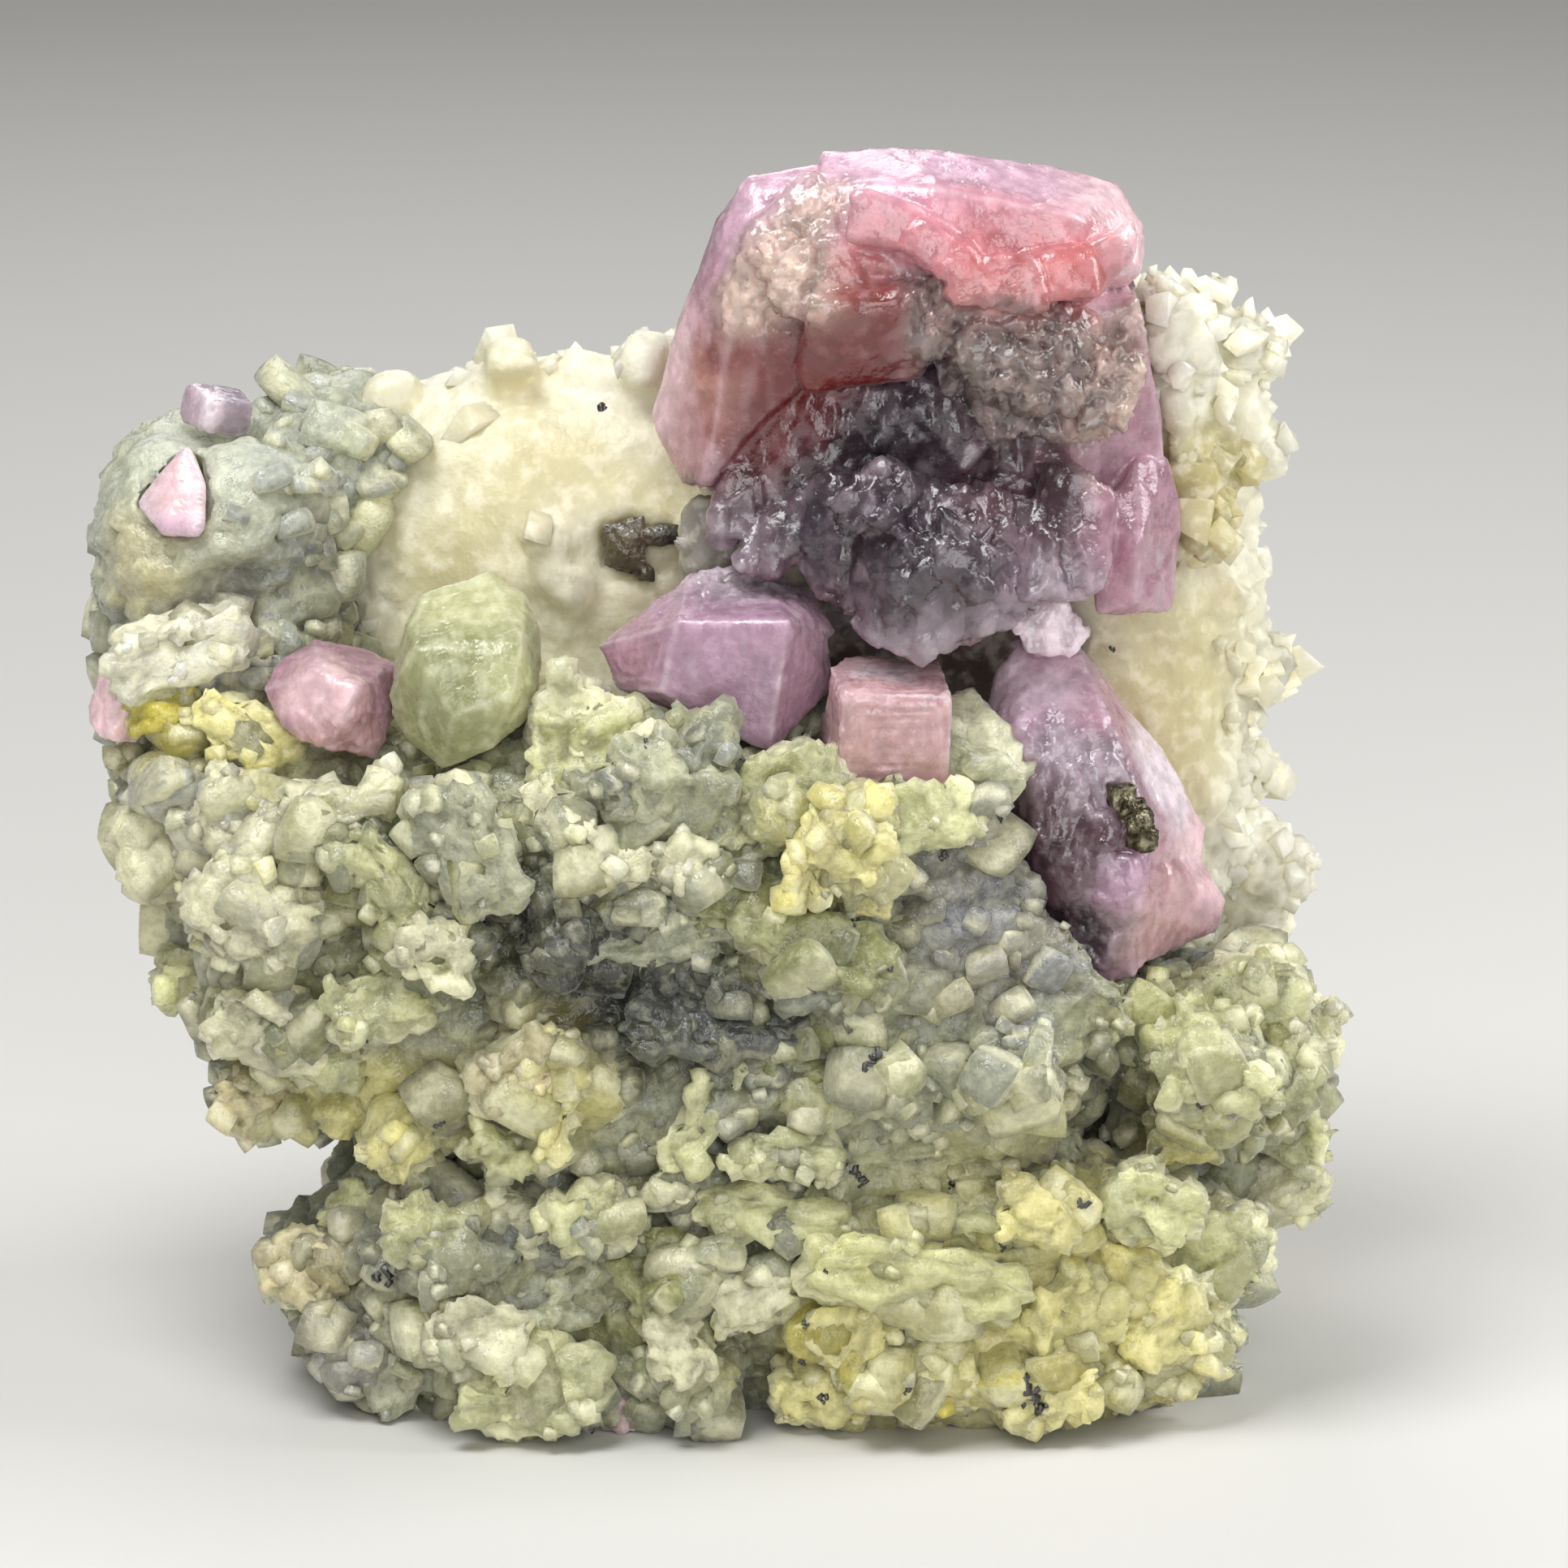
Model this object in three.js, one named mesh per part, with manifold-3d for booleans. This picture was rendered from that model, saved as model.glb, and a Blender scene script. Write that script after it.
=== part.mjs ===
// Spinel specimen: violet and pink spinel crystals on white marble, with a crust of olive-green
// forsterite grains.
// Millimetres, +X to the viewer's right, +Y away from the viewer, +Z up. The origin is on the resting plane,
// under the middle of the specimen.

import * as THREE from "three";
import { ConvexGeometry } from "three/addons/geometries/ConvexGeometry.js";
import { mergeVertices } from "three/addons/utils/BufferGeometryUtils.js";
import Module from "manifold-3d";

const wasm = await Module();
wasm.setup();

// Driving dimensions.
const WIDTH = 32.3; // across the crust at its widest
const HEIGHT = 32.5; // resting plane to the top of the large crystal
const BASE_FRONT = -9; // depth of the front edge of the base
const VIEW_PITCH = THREE.MathUtils.degToRad(15); // the specimen is laid out as seen from this far above level
const SOCKET_GAP = 0.25; // clearance between neighbouring minerals
const REACH = 3 * Math.max(WIDTH, HEIGHT); // further than any point of the specimen

// Finishes, one for each mineral.
const FINISH = {
  marble: { color: 0xeeead6, roughness: 0.55 },
  forsterite: { color: 0xa9ad86, roughness: 0.4 },
  forsterite_crystal: { color: 0xb3b88a, roughness: 0.35 },
  spinel_pink: { color: 0xd98f9f, roughness: 0.25 },
  spinel_violet: { color: 0x9b6a94, roughness: 0.25 },
  graphite: { color: 0x2e2a22, roughness: 0.6, metalness: 0.3 },
  pyrite: { color: 0x8f8355, roughness: 0.35, metalness: 0.9 },
};

// Layout. A corner or a grain is given as it is seen: across and up in the viewer's picture, and its depth.

const toRadians = THREE.MathUtils.degToRad;
const SIGHT = new THREE.Vector3(0, Math.cos(VIEW_PITCH), -Math.sin(VIEW_PITCH));

function place([across, up, depth]) {
  const height = (up - (depth - BASE_FRONT) * Math.sin(VIEW_PITCH)) / Math.cos(VIEW_PITCH);
  return new THREE.Vector3(across, depth, height);
}

// Repeatable numbers from 0 to 1.
function numbers(seed) {
  let state = seed * 7919 + 17;
  return () => {
    state = (state * 16807) % 2147483647;
    return state / 2147483647;
  };
}

function directions(count) {
  const golden = Math.PI * (3 - Math.sqrt(5));
  return Array.from({ length: count }, (_, i) => {
    const height = 1 - (2 * i + 1) / count;
    const radius = Math.sqrt(1 - height * height);
    return new THREE.Vector3(radius * Math.cos(golden * i), radius * Math.sin(golden * i), height);
  });
}

// Solids.

function solid(geometry) {
  const bare = geometry.clone();
  bare.deleteAttribute("normal");
  bare.deleteAttribute("uv");
  const merged = mergeVertices(bare, 1e-4);
  return new wasm.Manifold(
    new wasm.Mesh({
      numProp: 3,
      vertProperties: merged.attributes.position.array,
      triVerts: new Uint32Array(merged.index.array),
    }),
  );
}

function geometryOf(made) {
  const mesh = made.getMesh();
  return new THREE.BufferGeometry()
    .setAttribute("position", new THREE.BufferAttribute(mesh.vertProperties, 3))
    .setIndex(new THREE.BufferAttribute(mesh.triVerts, 1));
}

function join(solids) {
  return solids.reduce((sum, next) => sum.add(next));
}

// What cutting leaves loose is dropped: the specimen keeps the one main body of each mineral.
function mainBody(made) {
  return made.decompose().reduce((most, next) => (next.volume() > most.volume() ? next : most));
}

function hull(points) {
  return solid(new ConvexGeometry(points));
}

// Corner points pushed out from their middle, for the socket that a crystal sits in.
function pushedOut(points, by) {
  const middle = points.reduce((sum, p) => sum.add(p), new THREE.Vector3()).divideScalar(points.length);
  return points.map((p) => p.clone().add(p.clone().sub(middle).setLength(by)));
}

// A boulder: a rounded box whose surface swells and dips in slow waves.
function boulder({ at, half, squareness = 2.6, swell = 0.05, detail = 4, seed = 1, grow = 0 }) {
  const random = numbers(seed);
  const waves = directions(7).map((way) => ({
    way: way.multiplyScalar(2.2 + 2.6 * random()),
    phase: 2 * Math.PI * random(),
  }));
  const geometry = new THREE.IcosahedronGeometry(1, detail);
  const position = geometry.attributes.position;
  const p = new THREE.Vector3();
  for (let i = 0; i < position.count; i++) {
    p.fromBufferAttribute(position, i);
    const lift = waves.reduce((sum, w) => sum + Math.cos(w.way.dot(p) + w.phase), 0) / waves.length;
    const power = Math.abs(p.x) ** squareness + Math.abs(p.y) ** squareness + Math.abs(p.z) ** squareness;
    p.multiplyScalar((1 + swell * 2.5 * lift) / power ** (1 / squareness));
    p.set(p.x * (half[0] + grow), p.y * (half[1] + grow), p.z * (half[2] + grow));
    position.setXYZ(i, p.x + at[0], p.y + at[1], p.z + at[2]);
  }
  return solid(geometry);
}

// Corner points of a block with its eight corners cut off, as cube and octahedron faces meet on a crystal.
function blockCorners({ at, half, cut, turn = [0, 0, 0] }) {
  const middle = place(at);
  const spin = new THREE.Euler(...turn.map(toRadians));
  const points = [];
  for (const x of [-1, 1])
    for (const y of [-1, 1])
      for (const z of [-1, 1])
        for (const axis of [0, 1, 2]) {
          const corner = [x * half[0], y * half[1], z * half[2]];
          corner[axis] *= 1 - cut;
          points.push(new THREE.Vector3(...corner).applyEuler(spin).add(middle));
        }
  return points;
}

// A crystal grain: an uneven rounded block of flat faces, half sizes along its own three axes.
function grain({ at, half, frame, points = 9, seed }) {
  const random = numbers(seed);
  const corners = directions(points).map((p) => {
    const power = Math.abs(p.x) ** 3 + Math.abs(p.y) ** 3 + Math.abs(p.z) ** 3;
    const reach = (0.95 + 0.25 * random()) / power ** (1 / 3);
    return new THREE.Vector3(p.x * half[0], p.y * half[1], p.z * half[2])
      .multiplyScalar(reach)
      .applyQuaternion(frame)
      .add(at);
  });
  return hull(corners);
}

// A calcite cleavage rhomb: a box sheared along its length.
function rhomb({ at, half, frame }) {
  const shear = 0.35;
  const points = [];
  for (const x of [-1, 1])
    for (const y of [-1, 1])
      for (const z of [-1, 1])
        points.push(
          new THREE.Vector3(half * (x + shear * z), half * 0.8 * y, half * 0.9 * z)
            .applyQuaternion(frame)
            .add(at),
        );
  return hull(points);
}

// The first place that a straight line meets a body, or null.
function meets(body, from, way) {
  const caster = new THREE.Raycaster(from, way.clone().normalize());
  return caster.intersectObject(body)[0] ?? null;
}

function bodyToMeet(made) {
  return new THREE.Mesh(geometryOf(made), new THREE.MeshBasicMaterial());
}

// White marble: the tall slab that backs the specimen, rimmed with the ends of its calcite crystals.

const MARBLE_BOULDERS = [
  { at: [-4.4, 2.8, 18.4], half: [5.8, 3.4, 6.9], squareness: 2.8, swell: 0.04, seed: 11 },
  { at: [2.8, 2.8, 18.4], half: [5.4, 3.2, 7.0], squareness: 2.8, seed: 12 },
  { at: [8.9, 2.4, 17.6], half: [4.9, 3.0, 9.2], squareness: 3.4, swell: 0.03, seed: 13 },
];
const MARBLE_BLOCKS = [
  // The slab itself, broken across at the back.
  [
    [-10.2, 20.5, 1.6],
    [-9.6, 25.4, 2.2],
    [-8.2, 26.8, 2.6],
    [-5.0, 27.5, 2.2],
    [-1.5, 27.7, 2.0],
    [3.0, 28.5, 2.0],
    [8.0, 29.8, 1.5],
    [11.2, 29.6, 0.8],
    [12.8, 29.6, 1.2],
    [13.9, 28.3, 1.6],
    [13.6, 24.5, 1.8],
    [13.7, 20.0, 1.8],
    [14.1, 15.5, 2.0],
    [14.3, 13.2, 2.0],
    [13.6, 8.0, 2.4],
    [12.8, 4.0, 2.6],
    [12.2, 2.4, 2.8],
    [-9.0, 2.4, 2.6],
    [-9.3, 12.0, 1.6],
    [-8.6, 26.3, 7.2],
    [-3.0, 27.6, 8.3],
    [4.0, 28.8, 8.5],
    [9.8, 29.6, 7.6],
    [12.6, 28.4, 6.0],
    [13.2, 20.0, 7.0],
    [12.4, 10.0, 8.2],
    [10.6, 4.2, 8.4],
    [0.0, 4.2, 9.2],
    [-7.4, 4.2, 7.6],
    [-9.2, 14.0, 7.6],
    [-10.0, 20.0, 6.6],
    [3.0, 16.0, 9.6],
  ],
  // Two steps in the break.
  [
    [-7.0, 18.0, 8.0],
    [-2.0, 20.5, 9.0],
    [-0.5, 14.0, 9.4],
    [-6.0, 11.0, 8.4],
    [-3.6, 17.5, 9.9],
    [-3.4, 13.5, 9.9],
    [-4.0, 16.0, 6],
  ],
  [
    [4.0, 25.0, 8.7],
    [10.0, 26.0, 7.8],
    [11.2, 17.0, 7.8],
    [5.0, 15.0, 9.4],
    [7.0, 23.0, 9.8],
    [8.6, 18.5, 9.6],
    [8.0, 20.0, 6],
  ],
  // The clouded column under the arm of the large crystal.
  [
    [-0.7, 24.2, -2.5],
    [1.0, 24.2, -3.8],
    [1.3, 22.6, -3.9],
    [0.9, 21.9, -3.4],
    [-0.6, 22.2, -2.6],
    [-0.5, 23.5, 1],
    [1.2, 23.5, 1],
  ],
  // The ridge of pale lumps between the large crystal and the right edge.
  [
    [11.0, 29.2, -1.2],
    [13.0, 28.0, -0.8],
    [13.7, 25.0, -0.4],
    [13.4, 22.4, -0.4],
    [12.3, 22.2, -1.5],
    [12.0, 25.4, -1.9],
    [11.6, 27.6, -1.8],
    [11.5, 28.5, 2],
    [13.0, 24.0, 2],
  ],
].map((list) => list.map(place));

// Rim crystals that stand out against the background: across, up, depth and half size.
const MARBLE_TEETH = [
  [-8.4, 26.9, 2.5, 0.5],
  [-5.3, 27.6, 2.0, 0.7],
  [-3.4, 27.6, 2.4, 0.5],
  [-1.8, 27.9, 1.6, 0.6],
  [11.6, 29.4, 0.6, 0.6],
  [12.9, 29.3, 1.5, 0.6],
  [13.9, 28.2, 1.8, 0.7],
  [13.7, 26.6, 2.0, 0.5],
  [14.1, 25.6, 2.4, 0.6],
  [13.6, 23.6, 2.0, 0.5],
  [13.9, 21.6, 2.2, 0.5],
  [14.4, 20.1, 2.2, 0.7],
  [13.9, 18.6, 2.0, 0.5],
  [13.9, 16.9, 2.4, 0.6],
  [14.3, 15.2, 2.2, 0.7],
  [14.8, 14.2, 2.0, 0.8],
  [14.3, 13.0, 2.4, 0.6],
  [-4.2, 22.9, -0.4, 0.5],
  [-3.7, 21.8, -0.5, 0.6],
];
const RIM_CRYSTALS = 44; // ways to look for further small rhombs, round the rim only

function marbleSlab(grow) {
  const detail = grow > 0 ? 2 : 3;
  return join([
    ...MARBLE_BOULDERS.map((lump) => boulder({ ...lump, detail, grow: 1.6 * grow })),
    ...MARBLE_BLOCKS.map((points) => hull(pushedOut(points, 2 * grow))),
  ]);
}

function marbleRhombs(slab) {
  const random = numbers(31);
  const tumble = () =>
    new THREE.Quaternion().setFromEuler(new THREE.Euler(6 * random(), 6 * random(), 6 * random()));
  const teeth = MARBLE_TEETH.map(([across, up, depth, half]) => ({
    at: place([across, up, depth]),
    half,
    frame: tumble(),
  }));
  const body = bodyToMeet(slab);
  const middle = new THREE.Vector3(1.5, 4, 15);
  for (const way of directions(RIM_CRYSTALS)) {
    if (Math.abs(way.y) > 0.4) continue;
    const hit = meets(body, middle.clone().addScaledVector(way, REACH), way.clone().negate());
    teeth.push({ at: hit.point.addScaledVector(way, -0.2), half: 0.45 + 0.5 * random(), frame: tumble() });
  }
  return teeth;
}

// Forsterite crust: the granular green mass of the front and the base, with the rounded knob at the
// upper left.

const CRUST_BLOCKS = [
  // The left shoulder, which overhangs the base.
  [
    [-15.7, 17.3, -3],
    [-15.0, 15.2, -3.5],
    [-14.0, 12.8, -3.5],
    [-13.4, 11.7, -4],
    [-12.7, 9.0, -4],
    [-12.0, 7.8, -4],
    [-11.1, 7.6, -4.5],
    [-9.5, 8.0, -5],
    [-13.0, 14.4, -6.3],
    [-11.4, 12.9, -7.2],
    [-12.0, 16.0, -6.4],
    [-9.3, 15.6, -7.8],
    [-6.6, 15.2, -8.4],
    [-7.4, 12.3, -8.6],
    [-10.4, 10.2, -7.2],
    [-7.4, 9.2, -8],
    [-11.2, 8.5, -6],
    [-5.8, 7.3, -8],
    [-15.3, 18.6, -1],
    [-9.0, 19.0, -3],
    [-14.5, 15.0, 2.5],
    [-12.5, 10.0, 2.5],
    [-11.0, 9.0, 2],
    [-6.0, 18.0, 1],
    [-6.0, 9.0, 1],
  ],
  // The middle of the front, below the crystals.
  [
    [-4.1, 18.8, -5.5],
    [-6.6, 16.9, -7.6],
    [-4.5, 16.0, -8.2],
    [-1.6, 19.0, -5.5],
    [1.1, 18.1, -6],
    [0.9, 16.9, -7.8],
    [2.6, 16.9, -8],
    [6.1, 18.3, -6],
    [4.6, 16.9, -8],
    [6.9, 16.0, -7.5],
    [8.6, 12.3, -8.4],
    [10.9, 11.5, -7.6],
    [3.8, 12.9, -9],
    [-2.4, 13.5, -9],
    [-5.4, 12.9, -8.6],
    [8.8, 9.2, -8.8],
    [2.6, 9.2, -9],
    [-3.7, 9.2, -8.8],
    [-5.8, 6.7, -8.2],
    [0.5, 5.6, -8.8],
    [7.8, 6.7, -8.6],
    [-6.0, 18.0, 1],
    [8.0, 18.0, 1],
    [11.0, 11.0, 1],
    [9.0, 5.0, 2],
    [-6.0, 5.0, 2],
  ],
  // The right lobe.
  [
    [10.9, 11.6, -6.5],
    [12.6, 12.3, -4.5],
    [14.2, 12.4, -3],
    [15.2, 11.6, -3],
    [15.8, 9.8, -3],
    [15.9, 8.0, -3],
    [15.1, 7.5, -3.5],
    [13.0, 8.8, -7],
    [11.3, 9.8, -8],
    [14.2, 10.2, -6],
    [12.6, 7.3, -7.5],
    [10.9, 6.7, -8],
    [11.0, 12.0, 1],
    [14.5, 11.5, 1.5],
    [15.0, 9.5, 1.5],
    [14.0, 7.5, 1],
    [10.0, 7.0, 1],
  ],
  // The right foot.
  [
    [2.3, 3.8, -9.2],
    [4.6, 5.6, -9],
    [8.8, 6.0, -9],
    [11.7, 6.5, -7.5],
    [13.8, 4.8, -4.5],
    [13.0, 3.4, -5],
    [13.6, 2.5, -5],
    [13.4, 1.0, -5.2],
    [10.9, 0.3, -7.5],
    [7.8, 0.1, -8.5],
    [2.6, -0.1, -8.9],
    [2.0, 1.7, -9.3],
    [6.7, 2.7, -9.8],
    [10.9, 3.1, -8.8],
    [13.0, 6.0, 2],
    [12.5, 2.3, 2],
    [2.0, 2.3, 2],
    [3.0, 8.0, 1],
  ],
  // The saddle between the feet, arched at the front.
  [
    [-1.0, 5.6, -8.6],
    [3.4, 5.6, -8.6],
    [-1.0, 1.7, -8.5],
    [3.4, 1.7, -8.5],
    [-1.0, 0.3, -7.0],
    [3.4, 0.3, -7.0],
    [-1.0, 2.3, 2],
    [3.4, 2.3, 2],
    [-1.0, 8.0, 1],
    [3.4, 8.0, 1],
  ],
  // The left foot.
  [
    [-9.3, 6.9, -5.5],
    [-10.7, 5.6, -5],
    [-11.2, 4.7, -5],
    [-11.0, 3.5, -5.2],
    [-10.6, 2.1, -5.5],
    [-9.5, 0.6, -6.5],
    [-6.6, 0.2, -8],
    [-3.7, 0.0, -8.7],
    [-0.2, -0.1, -8.9],
    [1.0, 1.5, -9],
    [0.8, 3.5, -9],
    [-2.4, 6.0, -8.8],
    [-6.6, 5.8, -8.4],
    [-8.9, 4.4, -7.6],
    [-5.8, 3.1, -9.2],
    [-8.3, 2.3, -8],
    [-8.0, 9.0, 0],
    [-10.0, 2.3, 2],
    [0.0, 2.3, 2],
    [0.0, 8.0, 1],
  ],
].map((list) => list.map(place));
const CRUST_BOULDERS = [
  { at: [-12.9, 0.8, 21.1], half: [3.2, 3.8, 3.5], squareness: 2.7, swell: 0.04, detail: 3, seed: 26 },
  { at: [-10.0, 2.6, 23.0], half: [3.0, 2.4, 2.0], squareness: 2.3, detail: 2, seed: 27 },
  { at: [-12.6, -0.4, 17.6], half: [3.1, 4.0, 2.6], detail: 2, seed: 28 },
];

// The larger grains and blades: across, up, half length, half width, and the turn of the length in degrees.
const CRUST_GRAINS = [
  [-13.5, 20.4, 1.7, 0.8, 8],
  [-12.0, 18.0, 1.0, 0.5, -25],
  [-13.8, 16.4, 1.4, 0.8, -20],
  [-12.0, 13.3, 1.6, 1.25, 0],
  [-9.1, 15.2, 1.5, 0.95, -30],
  [-6.3, 15.1, 1.3, 1.0, 0],
  [-7.3, 12.6, 1.4, 0.9, 5],
  [-8.1, 11.1, 0.8, 0.55, -10],
  [-10.6, 10.5, 1.0, 0.6, -15],
  [-11.9, 8.9, 1.2, 1.0, -30],
  [-8.1, 7.7, 1.2, 0.8, -60],
  [-4.8, 9.2, 0.95, 0.75, 30],
  [-3.7, 9.6, 1.0, 0.8, 70],
  [-6.6, 8.9, 1.1, 0.6, 0],
  [-4.7, 7.3, 1.3, 0.4, 18],
  [-7.3, 6.1, 1.3, 0.4, 3],
  [-3.4, 14.7, 0.95, 0.45, 55],
  [-1.7, 14.6, 0.85, 0.45, 5],
  [0.2, 14.7, 1.1, 0.6, 0],
  [-3.0, 18.3, 1.1, 0.9, 20],
  [-0.25, 17.5, 1.2, 1.3, 0],
  [-2.2, 16.8, 1.5, 0.9, 0],
  [3.4, 15.2, 1.3, 1.5, 0],
  [1.6, 16.0, 0.9, 1.1, 0],
  [2.8, 11.9, 1.8, 1.1, -20],
  [-1.2, 10.3, 2.0, 0.5, -8],
  [-0.25, 8.0, 1.9, 0.5, 25],
  [2.1, 7.2, 1.5, 0.55, -4],
  [2.25, 5.8, 2.0, 0.6, -8],
  [-0.8, 6.8, 0.95, 0.4, 80],
  [5.2, 3.7, 2.35, 0.55, -8],
  [1.4, 4.1, 1.2, 0.8, 0],
  [-0.6, 4.3, 1.1, 1.0, 40],
  [-6.4, 4.5, 1.8, 1.1, 10],
  [-3.1, 5.6, 0.8, 0.8, 0],
  [-6.1, 2.7, 1.5, 1.0, 30],
  [-4.4, 1.35, 1.5, 1.0, 0],
  [-10.0, 4.5, 1.1, 0.75, 70],
  [-9.2, 1.8, 1.3, 0.9, -40],
  [-0.6, 1.6, 1.2, 1.4, 0],
  [2.9, 2.6, 0.9, 0.7, 0],
  [4.9, 1.7, 1.6, 0.8, 0],
  [8.4, 1.5, 2.2, 1.0, 5],
  [11.7, 2.5, 1.9, 1.2, 5],
  [9.4, 3.5, 1.2, 0.4, -5],
  [8.5, 5.7, 0.9, 0.65, 5],
  [6.6, 6.0, 1.0, 0.5, 5],
  [11.4, 5.6, 1.15, 1.0, 20],
  [8.8, 7.2, 0.6, 0.7, 0],
  [12.6, 9.2, 1.9, 1.5, -10],
  [14.5, 9.8, 1.2, 1.4, 0],
  [15.4, 10.5, 0.7, 0.8, 0],
  [13.0, 11.6, 2.1, 1.0, -15],
  [13.5, 6.1, 1.9, 0.85, -3],
  [13.0, 4.5, 1.1, 1.0, 0],
  [7.7, 9.6, 1.3, 1.1, 0],
  [4.6, 9.2, 1.5, 1.1, -10],
  [-3.9, 12.7, 1.1, 1.2, 0],
];
const FRONT_GRAINS = { columns: 8, rows: 6, left: -13, right: 14, bottom: 1.5, top: 17 };
const SIDE_GRAINS = 50; // further grains, spread over the flanks, the ledge and the base

function crustGrains(body) {
  const toPicture = new THREE.Quaternion().setFromEuler(new THREE.Euler(-VIEW_PITCH, 0, 0));
  const seen = (across, up) => meets(body, place([across, up, 0]).addScaledVector(SIGHT, -REACH), SIGHT);
  const tilted = (turn) =>
    toPicture.clone().multiply(new THREE.Quaternion().setFromEuler(new THREE.Euler(0, -toRadians(turn), 0)));
  const made = CRUST_GRAINS.map(([across, up, long, wide, turn], i) => {
    const thick = 0.8 * Math.min(long, wide) + 0.25;
    const at = (seen(across, up)?.point ?? place([across, up, -2])).addScaledVector(SIGHT, -0.3 * thick);
    return grain({ at, half: [long, thick, wide], frame: tilted(turn), seed: 100 + i });
  });

  const random = numbers(41);
  const { columns, rows, left, right, bottom, top } = FRONT_GRAINS;
  for (let i = 0; i < columns * rows; i++) {
    const across = left + ((right - left) * ((i % columns) + random())) / columns;
    const up = bottom + ((top - bottom) * (Math.floor(i / columns) + random())) / rows;
    const half = [0.7 + 0.5 * random(), 0.75, 0.5 + 0.3 * random()];
    const frame = tilted(70 * random() - 35);
    const hit = seen(across, up);
    if (hit) made.push(grain({ at: hit.point, half, frame, points: 7, seed: 200 + i }));
  }

  const middle = new THREE.Vector3(0, -1, 8);
  directions(SIDE_GRAINS).forEach((way, i) => {
    const size = 0.6 + 0.7 * random();
    const half = [size, 0.6 * size, size * (0.5 + 0.4 * random())];
    if (Math.abs(way.x) < 0.5 && way.z > -0.2 && way.z < 0.6) return;
    const hit = meets(body, middle.clone().addScaledVector(way, REACH), way.clone().negate());
    const frame = new THREE.Quaternion().setFromUnitVectors(new THREE.Vector3(0, 1, 0), way);
    if (hit) made.push(grain({ at: hit.point, half, frame, points: 7, seed: 300 + i }));
  });
  return made;
}

// Crystals: each is one or more convex blocks, every corner given as across, up, depth.

const corners = (list) => list.map(place);

const PYRITE = [
  [10.5, 16.45, -7.2],
  [10.75, 16.1, -7.4],
  [10.95, 15.75, -7.5],
  [11.05, 15.35, -7.5],
].map((at, i) => blockCorners({ at, half: [0.32, 0.3, 0.28], cut: 0, turn: [25 * i, 40 * i, 15] }));

// The largest crystal: a pink cap over a broken heart, a tall left arm, and violet pieces below and
// at the right.
const LARGE_CAP = corners([
  [2.8, 32.9, -3],
  [4.9, 33.1, -2.5],
  [8.6, 32.7, -2],
  [10.5, 32.2, -2],
  [11.1, 31.1, -2.5],
  [11.0, 29.9, -3.5],
  [8.6, 29.2, -5.6],
  [6.7, 29.1, -5.8],
  [5.3, 30.2, -5.8],
  [3.4, 30.6, -5.2],
  [2.9, 32.0, -4.5],
  [5.7, 31.9, -5.2],
  [9.4, 31.2, -4.8],
  [3.0, 32.5, 2.5],
  [10.5, 31.5, 2],
  [10.0, 28.5, 2],
  [3.5, 30.0, 2.5],
]);
const LARGE_ARM = corners([
  [0.9, 32.3, -3],
  [2.7, 32.6, -3],
  [0.2, 31.2, -3.2],
  [-0.9, 28.5, -2.8],
  [-1.6, 26.2, -2.5],
  [-0.8, 24.4, -3.5],
  [-0.2, 24.5, -4.5],
  [0.3, 27.3, -4.8],
  [0.9, 30.0, -5],
  [2.8, 30.6, -5.2],
  [3.4, 28.1, -5],
  [0.2, 31.5, 1.5],
  [-0.9, 27.0, 1.5],
  [3.0, 31.0, 2],
  [2.0, 25.5, 1],
]);
const LARGE_HEART = corners([
  [0.5, 28.1, -4.2],
  [10.9, 29.2, -3.8],
  [11.7, 25.2, -3.5],
  [9.6, 24.0, -4.2],
  [5.7, 26.5, -4.6],
  [1.7, 23.5, -4.5],
  [-0.1, 24.4, -3.8],
  [0.5, 30.0, 2],
  [11.0, 30.0, 2],
  [11.5, 26.0, 2],
  [1.0, 25.0, 2],
]);
const LARGE_BOSS = corners([
  [4.9, 30.0, -4.9],
  [6.5, 29.0, -5.3],
  [8.6, 29.1, -5.0],
  [10.3, 27.7, -4.7],
  [10.1, 25.4, -4.8],
  [7.1, 25.5, -5.4],
  [5.7, 26.9, -5.1],
  [7.5, 28.0, -2],
]);
const LARGE_SHARD = corners([
  [1.3, 23.4, -4.5],
  [2.8, 24.8, -5],
  [6.5, 24.4, -6],
  [9.5, 23.8, -5],
  [9.4, 21.6, -5.5],
  [7.0, 21.4, -6.8],
  [6.8, 20.4, -6.9],
  [5.4, 19.8, -7],
  [4.1, 20.4, -6.6],
  [2.7, 21.7, -5.6],
  [5.3, 22.5, -7.4],
  [3.0, 23.5, 0],
  [8.5, 23.5, 0],
  [5.5, 21.8, -2.5],
]);
const LARGE_BLOCK = corners([
  [9.85, 23.5, -5],
  [10.9, 25.1, -4.2],
  [11.8, 25.2, -3.2],
  [12.1, 23.3, -3.2],
  [11.8, 21.2, -3.6],
  [9.9, 21.1, -5],
  [11.0, 23.0, -5.6],
  [10.9, 21.4, -5.4],
  [10.0, 23.5, 1],
  [12.0, 23.0, 1],
]);
const LARGE_ROOT = corners([
  [3.2, 20.4, -4.2],
  [7.8, 20.2, -4],
  [6.7, 18.5, -4.2],
  [3.8, 19.2, -4.2],
  [3.5, 22.0, -1],
  [8.0, 22.0, -1],
  [6.5, 20.0, -1],
]);

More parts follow.
